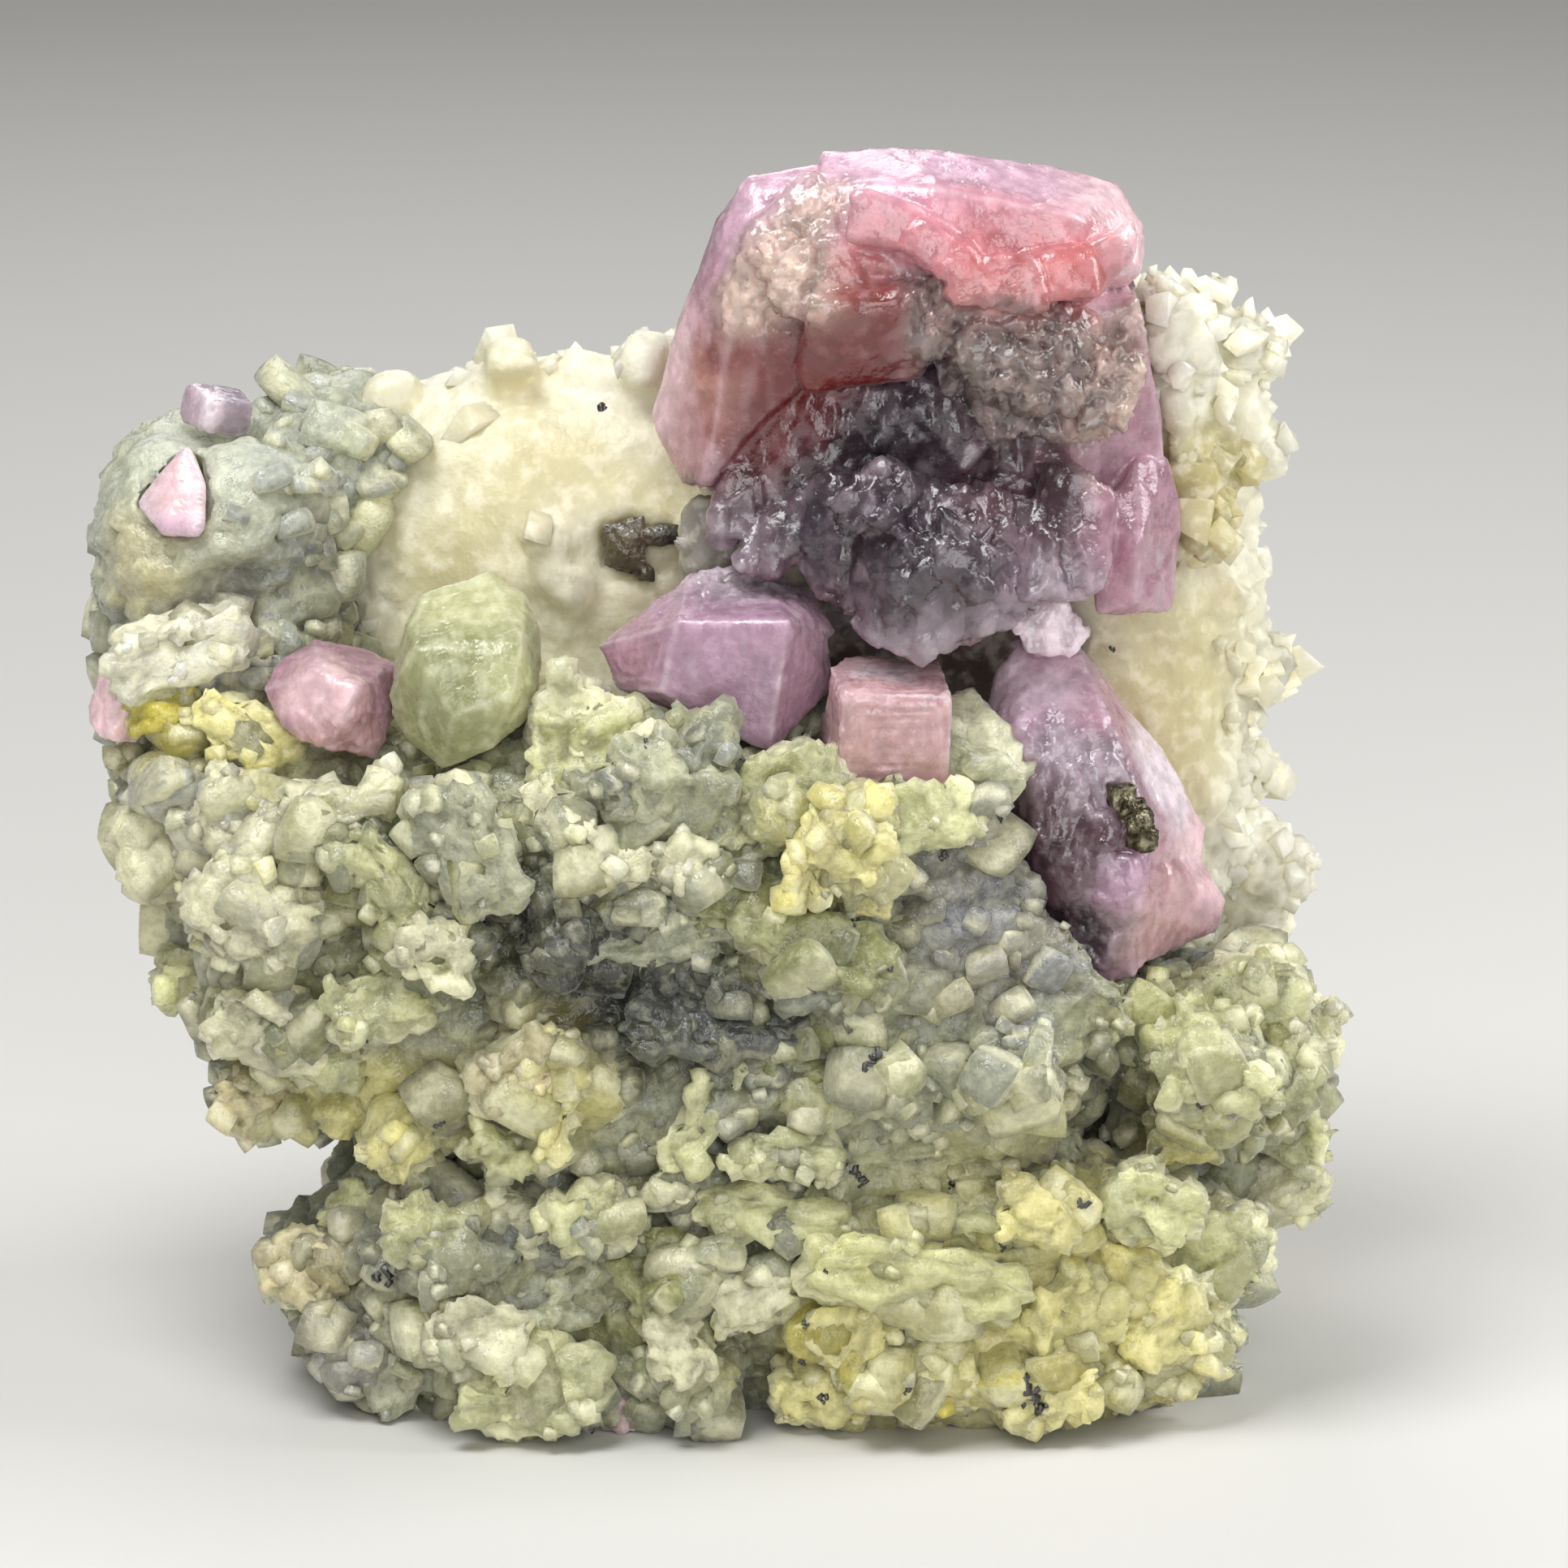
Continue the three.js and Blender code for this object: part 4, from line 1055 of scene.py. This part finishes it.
def surface_spots(piece, count, room, blockers):
    """Random spots on a mesh, spread by area and clear of other solids: points, normals and vertices."""
    mesh = piece.data
    mesh.calc_loop_triangles()
    corners = np.empty(3 * len(mesh.loop_triangles), np.int32)
    mesh.loop_triangles.foreach_get("vertices", corners)
    corners = corners.reshape(-1, 3)
    a, b, c = points_of(piece)[corners.T]
    normal = np.cross(b - a, c - a)
    area = np.linalg.norm(normal, axis=1)
    picked = rng.choice(len(area), size=count, p=area / area.sum())
    s, t = np.sort(rng.random((2, count, 1)), axis=0)
    spots = a[picked] * s + b[picked] * (t - s) + c[picked] * (1 - t)
    facing = normal[picked] / area[picked][:, None]
    good = []
    for i, (spot, way) in enumerate(zip(spots, facing)):
        spot, way = Vector(spot), Vector(way)
        if not any(solid_tree[name].ray_cast(spot - way * room, way, 2 * room)[0] for name in blockers):
            good.append(i)
    return spots[good], facing[good], corners[picked[good], 0]


def seats(spots, facing, lengths, slim, level, sink):
    """Matrices of grains on spots: long sides lean towards level by a share, and each is partly sunk."""
    made = []
    for spot, way, length in zip(spots, facing, lengths):
        tipped = Euler(rng.uniform(-TIP, TIP, 3)).to_matrix()
        turn = Vector(way).to_track_quat("Z", "X").to_matrix() @ tipped
        turn = turn @ Matrix.Rotation(rng.uniform(-math.pi, math.pi) * (1 - level), 3, "Z")
        size = length * np.array([1, rng.uniform(*slim), rng.uniform(*slim)])
        matrix = (turn @ Matrix.Diagonal(size)).to_4x4()
        matrix.translation = Vector(spot + way * size[2] * (0.5 - sink))
        made.append(matrix)
    return made


# %% [markdown]
# ## The grains of the crust
#
# Middle and small grains lie on the crust, and more small ones on the large grains. Noise gathers them
# in patches, and the smooth knob has few. They take the colour of the ground below them, its painted
# shade included, a little lighter or darker and a little warmer or cooler, so the zones of colour carry
# on through them. The crystals are clean in the photograph, so a grain that would stand before one is left
# out.

# %% Crust grains
ROOM = 0.5 * MM  # kept free of other solids
PATCH_SIZE = 2.4 * MM
SIZE_SPREAD, SMALLEST = 0.35, 0.25  # of the logarithm of the length, and the length in millimetres
SHADES = (0.9, 1.35)
WARMTH = [0.04, 0.03, -0.12]
LEVEL = 0.3


def hides_crystal(spot, way):
    """Whether a grain on a spot would stand before a crystal that the photograph shows."""
    top = Vector(spot + way * ROOM)
    to_crystal = min(solid_tree[name].ray_cast(top, SIGHT)[3] or FAR for name in CRYSTALS)
    return to_crystal < (crust_tree.ray_cast(top, SIGHT)[3] or FAR)


def sprinkle(name, ground, ground_tint, shapes, tries, share, middle_size, largest, slim, sink):
    """Grains of a few shapes on a piece of crust: a share of the tries, with sizes in millimetres."""
    spots, facing, below = surface_spots(ground, tries, ROOM, CRYSTALS + ["marble"])
    knob = zone_shares(spots, [KNOB], crust_tree)[:, 0]
    gather = soft_noise(spots, PATCH_SIZE, 51) + rng.uniform(-0.7, 0.7, len(spots)) - 2 * knob
    kept = (gather > np.quantile(gather, 1 - share)) & (crystal_distance(spots) > 0.45 * largest * MM)
    kept &= [not hides_crystal(spot, way) for spot, way in zip(spots, facing)]
    spots, facing = spots[kept], facing[kept]
    lengths = rng.lognormal(math.log(middle_size), SIZE_SPREAD, len(spots))
    lengths = np.clip(lengths, SMALLEST, largest) * MM
    shade = rng.uniform(*SHADES, (len(spots), 1))
    shade = shade * (1 + rng.uniform(-1, 1, (len(spots), 1)) * WARMTH)
    matrices = seats(spots, facing, lengths, slim, LEVEL, sink)
    piece = joined(name, shapes, matrices, ground_tint[below[kept]] * shade, GRAIN_GLOW, RIM_AMOUNT)
    dress(piece, forsterite, "forsterite")
    return piece


medium_grains = sprinkle(
    "medium_grains",
    crust,
    crust_tint,
    nuggets,
    tries=2350,
    share=0.5,
    middle_size=0.9,
    largest=1.6,
    slim=(0.6, 0.9),
    sink=0.64,
)
small_grains = sprinkle(
    "small_grains",
    crust,
    crust_tint,
    chips,
    tries=4300,
    share=0.5,
    middle_size=0.46,
    largest=0.8,
    slim=(0.6, 0.95),
    sink=0.55,
)
sprinkle(
    "grains_on_grains",
    large_grains,
    large_tint,
    chips,
    tries=3000,
    share=0.3,
    middle_size=0.42,
    largest=0.8,
    slim=(0.6, 0.95),
    sink=0.6,
)

# %% [markdown]
# ## The sugary rim of the marble
#
# On the real slab the separate calcite crystals show along the rim and wherever the marble is rough.
# So a spot is kept more often where the zones are rough, and where the surface faces sideways and not
# to the front or the back.

# %% Calcite grains on the marble
CALCITE_TRIES = 4200
CALCITE_SINK = 0.5
CALCITE_SLIM = (0.6, 1)
CALCITE_RIM, CALCITE_RIM_AMOUNT = "#fbf9ee", 0.3
spots, facing, _ = surface_spots(marble, CALCITE_TRIES, ROOM, CRYSTALS + ["forsterite_crust"])
shares = zone_shares(spots, MARBLE_ZONES, marble_tree)
rough = shares @ marble_roughness / (shares.sum(axis=1) + 0.02)
rim_side = np.clip(0.8 - np.abs(facing[:, 1]), 0, 1)
patchy = 3 * np.clip(rough - 0.12, 0, 1) + 0.6 * rim_side > rng.random(len(spots))
spots, facing = spots[patchy], facing[patchy]
lengths = MM * np.clip(rng.lognormal(-0.8, 0.4, len(spots)), 0.2, 0.95)
tints = zone_tint(spots, CALCITE, "white", MARBLE_ZONES, marble_tree)
tints = tints * rng.uniform(0.9, 1.15, (len(spots), 1))
matrices = seats(spots, facing, lengths, CALCITE_SLIM, 0, CALCITE_SINK)
sugar = joined("calcite_grains", rhombs, matrices, tints, CALCITE_RIM, CALCITE_RIM_AMOUNT)
dress(sugar, calcite, "marble")

# %% [markdown]
# ## Sharp edges
#
# Along its sharp edges a real crystal is chipped, and pale because light leaves through them; that pale
# glow is painted on. The edges are found in the solid by the angle between their two faces. Points along
# them go into a search tree, which then tells how far any vertex is from the nearest edge.

# %% Sharp edges
SHARP = 28  # degrees between the faces at an edge
EDGE_STEP = 0.06 * MM


def edge_distance(node_name, points):
    """How far points are from the nearest sharp outward edge of a solid."""
    bm = bmesh.new()
    bm.from_mesh(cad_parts[node_name].data)
    bmesh.ops.remove_doubles(bm, verts=bm.verts, dist=WELD)
    samples = []
    for edge in bm.edges:
        if edge.is_manifold and edge.calc_face_angle_signed(0) > math.radians(SHARP):
            start, end = (v.co.copy() for v in edge.verts)
            count = max(2, int((end - start).length / EDGE_STEP))
            samples += [start.lerp(end, i / count) for i in range(count + 1)]
    bm.free()
    near = KDTree(len(samples))
    for i, sample in enumerate(samples):
        near.insert(sample, i)
    near.balance()
    return np.array([near.find(point)[2] for point in points])


# %% [markdown]
# ## The crystals
#
# A crystal keeps flat faces, so its fine copy is snapped to the solid and only lightly roughened, with
# small chips along its sharp edges. Where it is broken, the break is made of tilted splinters, and each
# zone says how deep; painted shadow darkens the low parts of the break. A few splinters get painted
# glints of light, and a painted pale glow runs along the sharp edges. Faint lines along the edges, where
# lines are asked for, are growth steps, and a thin pale veil stands for the clouds inside.

# %% Crystal helper
SUGARY = ("frost", "umber")  # colours that are a skin of small grains
SPLINTER = (0.8, 1, 1.2)  # a splinter's shape
FINE_SPLINTER = 0.38  # of the size of the larger ones
SUGAR_SIZE = 0.3 * MM
CHIP_REACH, EDGE_GLOW_REACH = 0.12, 0.1  # millimetres from an edge
LINE_STEP, LINE_REACH = 0.28, 0.9  # millimetres
BREAK_SHADOW = "#2b2328"


def crystal(
    node_name,
    piece_name,
    voxel,
    palette,
    base,
    zones,
    material,
    slot,
    splinter=0.9,
    lumps=(),
    lines=0,
    grow=0.02,
):
    """A fine copy with zones of pixel, reach, colour and depth of the break.

    The sizes of voxels and splinters, the depths and the growth are in millimetres.
    """
    seated = [block_at(*lump, solid_tree[node_name]) for lump in lumps]
    piece = fine_copy(node_name, piece_name, voxel * MM, lumps=seated)
    p = points_of(piece)
    tree = tree_of(piece.data)
    shares = zone_shares(p, zones, tree)
    depth = (shares @ np.array([zone[4] for zone in zones]) + 0.0004) / (0.02 + shares.sum(axis=1))
    from_edge = edge_distance(node_name, p) / MM
    broad = packed_grains(p, splinter * MM, 31, SPLINTER, 1.1, 0.1, 0.5)[0]
    fine, fine_edge, fine_chances = packed_grains(
        p, FINE_SPLINTER * splinter * MM, 32, SPLINTER, 1.1, 0.1, 0.5
    )
    sugary = shares @ np.array([zone[3] in SUGARY for zone in zones]) / (0.1 + shares.sum(axis=1))
    sugar, _, sugar_chances = packed_grains(p, SUGAR_SIZE, 36, slope=1.2, dome=0.4)
    slow = soft_noise(p, 1.3 * MM, 33)
    chipped = np.exp(-((from_edge / CHIP_REACH) ** 2)) * (0.5 + 0.5 * soft_noise(p, 0.35 * MM, 34))
    ragged = from_edge + 0.12 * slow + 0.07 * soft_noise(p, 0.5 * MM, 37)
    patches = np.clip(0.5 + soft_noise(p, 0.8 * MM, 38), 0, 1)
    growth = lines * patches * np.cos(2 * math.pi * ragged / LINE_STEP)
    growth = growth * np.exp(-((from_edge / LINE_REACH) ** 2))
    relief = depth * (1.2 * broad + 0.6 * fine) + 0.2 * sugary * sugar + 0.08 * slow - 0.09 * chipped
    swell(piece, MM * (relief + 0.03 * growth + grow))
    colours = zone_tint(p, palette, base, zones, tree)
    broken = np.clip(4 * depth, 0, 1)
    colours = colours * (1 + 0.12 * slow + 0.7 * broken * (fine_chances[:, 0] - 0.5))[:, None]
    colours = colours * (1 + 0.7 * sugary * (sugar_chances[:, 0] - 0.5))[:, None]
    # Painted glints: a few splinters of a break are painted pale, as if they caught the light.
    painted_glint = broken * (1 - sugary) * (fine_chances[:, 1] > 0.84) * np.clip(fine_edge * 3, 0, 1)
    veil = np.clip(soft_noise(p * np.array([1, 1, 0.3]), 0.22 * MM, 35) - 0.25, 0, 1)
    # Pale: a painted glow along the sharp edges and the veil of the clouds inside, then painted glints and
    # growth lines.
    pale = (0.22 * np.exp(-((from_edge / EDGE_GLOW_REACH) ** 2)) + 0.3 * veil) * (1 - broken)
    pale = pale + 0.35 * painted_glint + 0.3 * np.clip(growth, 0, 1)
    pale = pale * np.clip(6 * colours.mean(axis=1), 0.15, 1)
    colours = towards(colours, palette["rim"], pale)
    colours = towards(colours, BREAK_SHADOW, 0.55 * broken * np.clip(-2.2 * (broad + 0.5 * fine), 0, 1))
    paint(piece, colours)
    dress(piece, material, slot, node_name)
    return piece


# %% [markdown]
# ## The colours of spinel
#
# Spinel goes from lilac and pink through salmon to deep red where it is thick, and graphite inside the
# broken heart turns it umber, slate and plum. All the spinels share this palette.

# %% Spinel colours
SPINEL = {
    "rim": "#eadce4",
    "lilac": "#d0aabd",
    "pink": "#c67f87",
    "salmon": "#bb6868",
    "blush": "#e8c5c9",
    "rose": "#c0979a",
    "clay": "#b07b72",
    "mauve": "#a97f8f",
    "violet": "#b18da5",
    "haze": "#998c96",
    "dusk": "#c0a9b6",
    "frost": "#bfab9b",
    "garnet": "#6a120e",
    "red": "#7a211c",
    "plum": "#48353b",
    "umber": "#6b6159",
    "slate": "#302e35",
}
print("spinel:", len(SPINEL), "colours")

# %% [markdown]
# ## The large spinel
#
# The largest crystal is smooth and pink above. Its front is broken open: a grainy grey boss sits under
# the cap, and the dark heart below is all splinters. Lumps joined to the copy give the scalloped lower
# edge of the cap, the boss and the ragged parts of the heart. A table of zones then gives each place
# its colour and how deep it is broken.

# %% Large spinel
LARGE_ZONES = [  # pixel, reach in pixels, colour, depth of the break
    (1100, 215, 80, "lilac", 0.03),
    (1240, 215, 90, "lilac", 0.03),
    (1370, 260, 60, "blush", 0.03),
    (1140, 280, 60, "pink", 0.05),
    (1250, 310, 60, "salmon", 0.05),
    (1340, 335, 55, "salmon", 0.05),
    (920, 260, 50, "lilac", 0.03),
    (960, 300, 55, "frost", 0.12),
    (1010, 250, 35, "frost", 0.1),
    (1005, 350, 45, "frost", 0.1),
    (925, 370, 40, "frost", 0.1),
    (825, 450, 45, "blush", 0.02),
    (840, 560, 40, "rose", 0.02),
    (875, 480, 32, "clay", 0.03),
    (935, 440, 35, "garnet", 0.02),
    (980, 440, 45, "garnet", 0.02),
    (960, 490, 55, "garnet", 0.02),
    (940, 540, 55, "garnet", 0.03),
    (1015, 480, 45, "garnet", 0.02),
    (1035, 430, 30, "garnet", 0.02),
    (1085, 405, 26, "garnet", 0.04),
    (1070, 325, 26, "salmon", 0.04),
    (1065, 365, 28, "red", 0.04),
    (1065, 410, 38, "garnet", 0.04),
    (1070, 470, 30, "garnet", 0.06),
    (1100, 295, 30, "salmon", 0.04),
    (1195, 345, 30, "salmon", 0.04),
    (1140, 360, 30, "umber", 0.2),
    (1145, 410, 45, "umber", 0.22),
    (1215, 430, 50, "umber", 0.22),
    (1265, 470, 75, "umber", 0.22),
    (1320, 430, 50, "umber", 0.2),
    (1380, 440, 40, "frost", 0.16),
    (1375, 510, 40, "frost", 0.16),
    # The slate here is painted shade in a small dark cavity.
    (1105, 706, 24, "slate", 0.1),
    (1100, 540, 65, "slate", 0.28),
    (1000, 620, 65, "slate", 0.24),
    (900, 620, 45, "plum", 0.15),
    (1130, 690, 85, "slate", 0.28),
    (1240, 620, 55, "plum", 0.26),
    (1310, 630, 45, "plum", 0.16),
    (1280, 720, 50, "haze", 0.2),
    (1410, 660, 60, "mauve", 0.05),
    (1130, 795, 38, "haze", 0.15),
    (885, 655, 40, "haze", 0.2),
]
LARGE_LUMPS = [  # pixel, length, width, turn in degrees, lift
    (970, 290, 150, 100, 35, -0.1),
    (1010, 340, 120, 100, 10, 0.05),
    (1080, 380, 130, 120, 20, 0.75),
    (1080, 335, 170, 150, 0, 1.6),
    (1085, 331, 120, 90, 0, 1.6),
    (1076, 321, 120, 90, 0, 0.7),
    (1250, 430, 200, 130, -10, 0.1),
    (1140, 390, 90, 110, 80, 0.1),
    (1360, 480, 110, 80, 80, 0.0),
    (1320, 660, 150, 110, 80, 0.0),
    (1095, 280, 110, 60, -12, 0.35),
    (1155, 308, 90, 60, -30, 0.35),
    (1192, 342, 80, 60, -60, 0.35),
    (1240, 348, 100, 65, 0, 0.35),
    (1305, 340, 110, 65, 5, 0.35),
    (1362, 320, 100, 60, 30, 0.3),
    (890, 650, 120, 70, 80, 0.0),
    (925, 690, 90, 60, 60, 0.0),
    (1190, 690, 110, 70, -30, 0.1),
    (1080, 620, 110, 80, 30, 0.1),
]
crystal(
    "spinel_large",
    "large_spinel",
    0.11,
    SPINEL,
    "mauve",
    LARGE_ZONES,
    spinel,
    "spinel_pink",
    splinter=1.5,
    lumps=LARGE_LUMPS,
)

# %% [markdown]
# ## The violet spinels
#
# Three crystals are violet: the octahedron on the ledge, whose faces show growth lines, the long
# crystal at the right, cloudy and dark along its middle, and the little one on top of the knob.

# %% Violet spinels
# The zones have the same four columns as those of the large spinel.
OCTAHEDRON_ZONES = [
    (890, 850, 90, "violet", 0.015),
    (770, 815, 40, "mauve", 0.03),
    (900, 725, 40, "haze", 0.16),
    (905, 712, 32, "rim", 0.16),
    (1000, 800, 40, "lilac", 0.02),
]
LONG_ZONES = [
    (1265, 840, 45, "dusk", 0.05),
    (1235, 920, 45, "violet", 0.06),
    (1300, 925, 22, "haze", 0.12),
    (1355, 955, 32, "haze", 0.12),
    (1265, 990, 50, "plum", 0.1),
    (1320, 1040, 50, "plum", 0.12),
    (1385, 1090, 30, "violet", 0.1),
    (1435, 960, 42, "rim", 0.03),
    (1475, 1045, 40, "blush", 0.03),
    (1445, 1115, 45, "rose", 0.03),
    (1485, 1165, 35, "rose", 0.03),
    (1310, 1120, 45, "plum", 0.14),
    (1355, 1160, 35, "slate", 0.14),
    (1385, 1200, 30, "violet", 0.1),
    (1295, 760, 40, "rim", 0.14),
]
CREST_ZONES = [(250, 500, 16, "rim", 0.05), (240, 510, 20, "dusk", 0.05)]
crystal(
    "spinel_left_octahedron",
    "left_octahedron",
    0.08,
    SPINEL,
    "violet",
    OCTAHEDRON_ZONES,
    spinel,
    "spinel_violet",
    lines=0.5,
)
crystal("spinel_long", "long_spinel", 0.09, SPINEL, "mauve", LONG_ZONES, spinel, "spinel_violet")
crystal("spinel_crest", "crest_crystal", 0.06, SPINEL, "haze", CREST_ZONES, spinel, "spinel_violet")

# %% [markdown]
# ## The pink spinels
#
# Four small crystals are pink: the block on the ledge, with clear growth lines, the domed one beside
# the green crystal, one on the left edge, and the wedge in the knob. The wedge grows out a little, so
# that the frost of the knob doesn't cover it.

# %% Pink spinels
BLOCK_ZONES = [(1080, 880, 50, "rose", 0.03), (1095, 832, 25, "rim", 0.03), (1090, 935, 25, "rose", 0.03)]
DOME_ZONES = [(400, 840, 38, "blush", 0.04), (455, 860, 30, "mauve", 0.04), (430, 920, 40, "rose", 0.1)]
EDGE_ZONES = [(140, 868, 40, "blush", 0.06)]
WEDGE_ZONES = [(190, 640, 20, "lilac", 0.01), (215, 600, 25, "blush", 0.01)]
crystal(
    "spinel_pink_block", "pink_block", 0.07, SPINEL, "rose", BLOCK_ZONES, spinel, "spinel_pink", lines=0.9
)
crystal("spinel_pink_dome", "pink_dome", 0.07, SPINEL, "mauve", DOME_ZONES, spinel, "spinel_pink")
crystal("spinel_left_edge", "left_edge_crystal", 0.06, SPINEL, "blush", EDGE_ZONES, spinel, "spinel_pink")
crystal(
    "spinel_knob_wedge", "knob_wedge", 0.06, SPINEL, "rim", WEDGE_ZONES, spinel, "spinel_pink", grow=0.2
)

# %% [markdown]
# ## The green crystal
#
# One forsterite crystal is large enough to show its own faces. It is made like the spinels, with the
# clear forsterite and the colours of the crust.

# %% Green forsterite crystal
GREEN_ZONES = [(590, 740, 50, "green", 0.03), (560, 840, 75, "moss", 0.03), (640, 860, 40, "green", 0.05)]
crystal(
    "forsterite_crystal",
    "green_crystal",
    0.085,
    FORSTERITE,
    "green",
    GREEN_ZONES,
    clear_forsterite,
    "forsterite_crystal",
)

# %% [markdown]
# ## The dark minerals
#
# A patch of flaky graphite is let into the marble, brown where it is thin, and a few tarnished cubes of
# pyrite sit on the long crystal. Both are fine copies of their solids, like the crystals.

# %% Graphite and pyrite
DARK = {"black": "#141310", "brown": "#574a31", "brass": "#55503f", "rim": "#8a7d5c"}
PATCH_ZONES = [(762, 670, 26, "brown", 0.06)]
CUBE_ZONES = [(1390, 1005, 40, "brass", 0.06)]
crystal("graphite_patch", "graphite_flakes", 0.06, DARK, "black", PATCH_ZONES, graphite, "graphite")
crystal("pyrite_grains", "pyrite_cubes", 0.05, DARK, "brass", CUBE_ZONES, pyrite, "pyrite")

# %% [markdown]
# ## Black specks
#
# Crumbs of graphite are caught between the grains and on the marble. Each speck is given by its pixel
# and its size, and is made of a few crumbs. The line of sight is followed to the first of the finished
# surfaces, so that a crumb lies on the grain that really carries it and not inside the crust.

# %% Graphite specks
SPECKS = [  # pixel, length in pixels
    (737, 505, 20),
    (472, 1572, 24),
    (541, 1383, 12),
    (447, 1283, 12),
    (1078, 1305, 22),
    (1070, 1318, 14),
    (1052, 1440, 20),
    (1062, 1455, 14),
    (1335, 1482, 16),
    (1170, 1462, 12),
    (1017, 1566, 10),
    (995, 1632, 12),
    (990, 1677, 10),
    (1237, 1538, 12),
    (1118, 1715, 12),
    (1014, 1725, 12),
    (1268, 1722, 24),
    (1282, 1735, 18),
    (1262, 1700, 14),
    (1055, 1135, 14),
    (1165, 1055, 14),
    (1478, 1362, 10),
    (1100, 1195, 10),
    (795, 915, 14),
    (1370, 800, 8),
]
CRUMBS = 4  # in each speck
CRUMB_STRAY, CRUMB_SIZES = 0.4, (0.35, 0.75)  # in lengths of the speck
CRUMB_WIDTH, CRUMB_LIFT = 0.6, -0.1
CRUMB_RIM_AMOUNT = 0.3
carriers = [tree_of(piece.data) for piece in (marble, crust, large_grains, medium_grains, small_grains)]


def first_seen(px, py):
    """The tree whose surface the line of sight of a pixel meets first."""
    way = sight_line(px, py)
    return min(carriers, key=lambda tree: tree.ray_cast(eye, way)[3] or FAR)


seated = []
for px, py, length in SPECKS:
    for _ in range(CRUMBS):
        x, y = np.array([px, py]) + rng.uniform(-CRUMB_STRAY, CRUMB_STRAY, 2) * length
        size = length * rng.uniform(*CRUMB_SIZES)
        turn = rng.uniform(-90, 90)
        seated.append(block_at(x, y, size, CRUMB_WIDTH * size, turn, CRUMB_LIFT, first_seen(x, y)))
soot = [linear(DARK["black"])] * len(seated)
specks = joined("graphite_specks", chips, seated, soot, DARK["brown"], CRUMB_RIM_AMOUNT)
dress(specks, graphite, "graphite")

# %% [markdown]
# ## The floor
#
# A wide pale floor catches the soft shadow that shows where the rock stands. It is stage and not part
# of the specimen.

# %% Floor
FLOOR_SIZE = 3  # metres, from the middle to each side
FLOOR_COLOUR, FLOOR_ROUGHNESS = "#d9d8d5", 0.7
bm = bmesh.new()
bmesh.ops.create_grid(bm, x_segments=1, y_segments=1, size=FLOOR_SIZE)
floor_mesh = bpy.data.meshes.new("floor")
bm.to_mesh(floor_mesh)
bm.free()
floor = new_piece("floor", floor_mesh)
floor_paint = bpy.data.materials.new("pale floor")
floor_paint.use_nodes = True
floor_shader = floor_paint.node_tree.nodes["Principled BSDF"]
floor_shader.inputs["Base Color"].default_value = (*linear(FLOOR_COLOUR), 1)
floor_shader.inputs["Roughness"].default_value = FLOOR_ROUGHNESS
floor_mesh.materials.append(floor_paint)
print("floor in metres:", 2 * FLOOR_SIZE)

# %% [markdown]
# ## The light
#
# Plain studio light: large soft lamps above, in front and at the right, a weak one behind for the edges
# that glow, and an even pale surrounding. The Standard view transform shows the colours as they were
# chosen, without the softer contrast of a film look.

# %% Lights
LAMPS = [  # name, place and size in millimetres, power in watts
    ("overhead", (-50, -50, 165), 90, 0.24),
    ("front", (30, -180, 70), 120, 0.15),
    ("right", (150, 10, 110), 100, 0.2),
    ("back", (-20, 140, 120), 80, 0.06),
]
LIT_POINT = Vector((0, 0, 15)) * MM
SURROUNDING, SURROUNDING_STRENGTH = "#eceae0", 0.13


def lamp(name, location, size, power):
    """A square soft lamp that points at the middle of the rock."""
    data = bpy.data.lights.new(name, "AREA")
    data.size = size * MM
    data.energy = power
    made = bpy.data.objects.new(name, data)
    made.location = Vector(location) * MM
    made.rotation_euler = (LIT_POINT - made.location).to_track_quat("-Z", "Y").to_euler()
    bpy.context.scene.collection.objects.link(made)


for settings in LAMPS:
    lamp(*settings)
world = bpy.data.worlds.new("studio")
world.use_nodes = True
background = world.node_tree.nodes["Background"]
background.inputs["Color"].default_value = (*linear(SURROUNDING), 1)
background.inputs["Strength"].default_value = SURROUNDING_STRENGTH
bpy.context.scene.world = world
bpy.context.scene.view_settings.view_transform = "Standard"
print("lamps:", [settings[0] for settings in LAMPS])
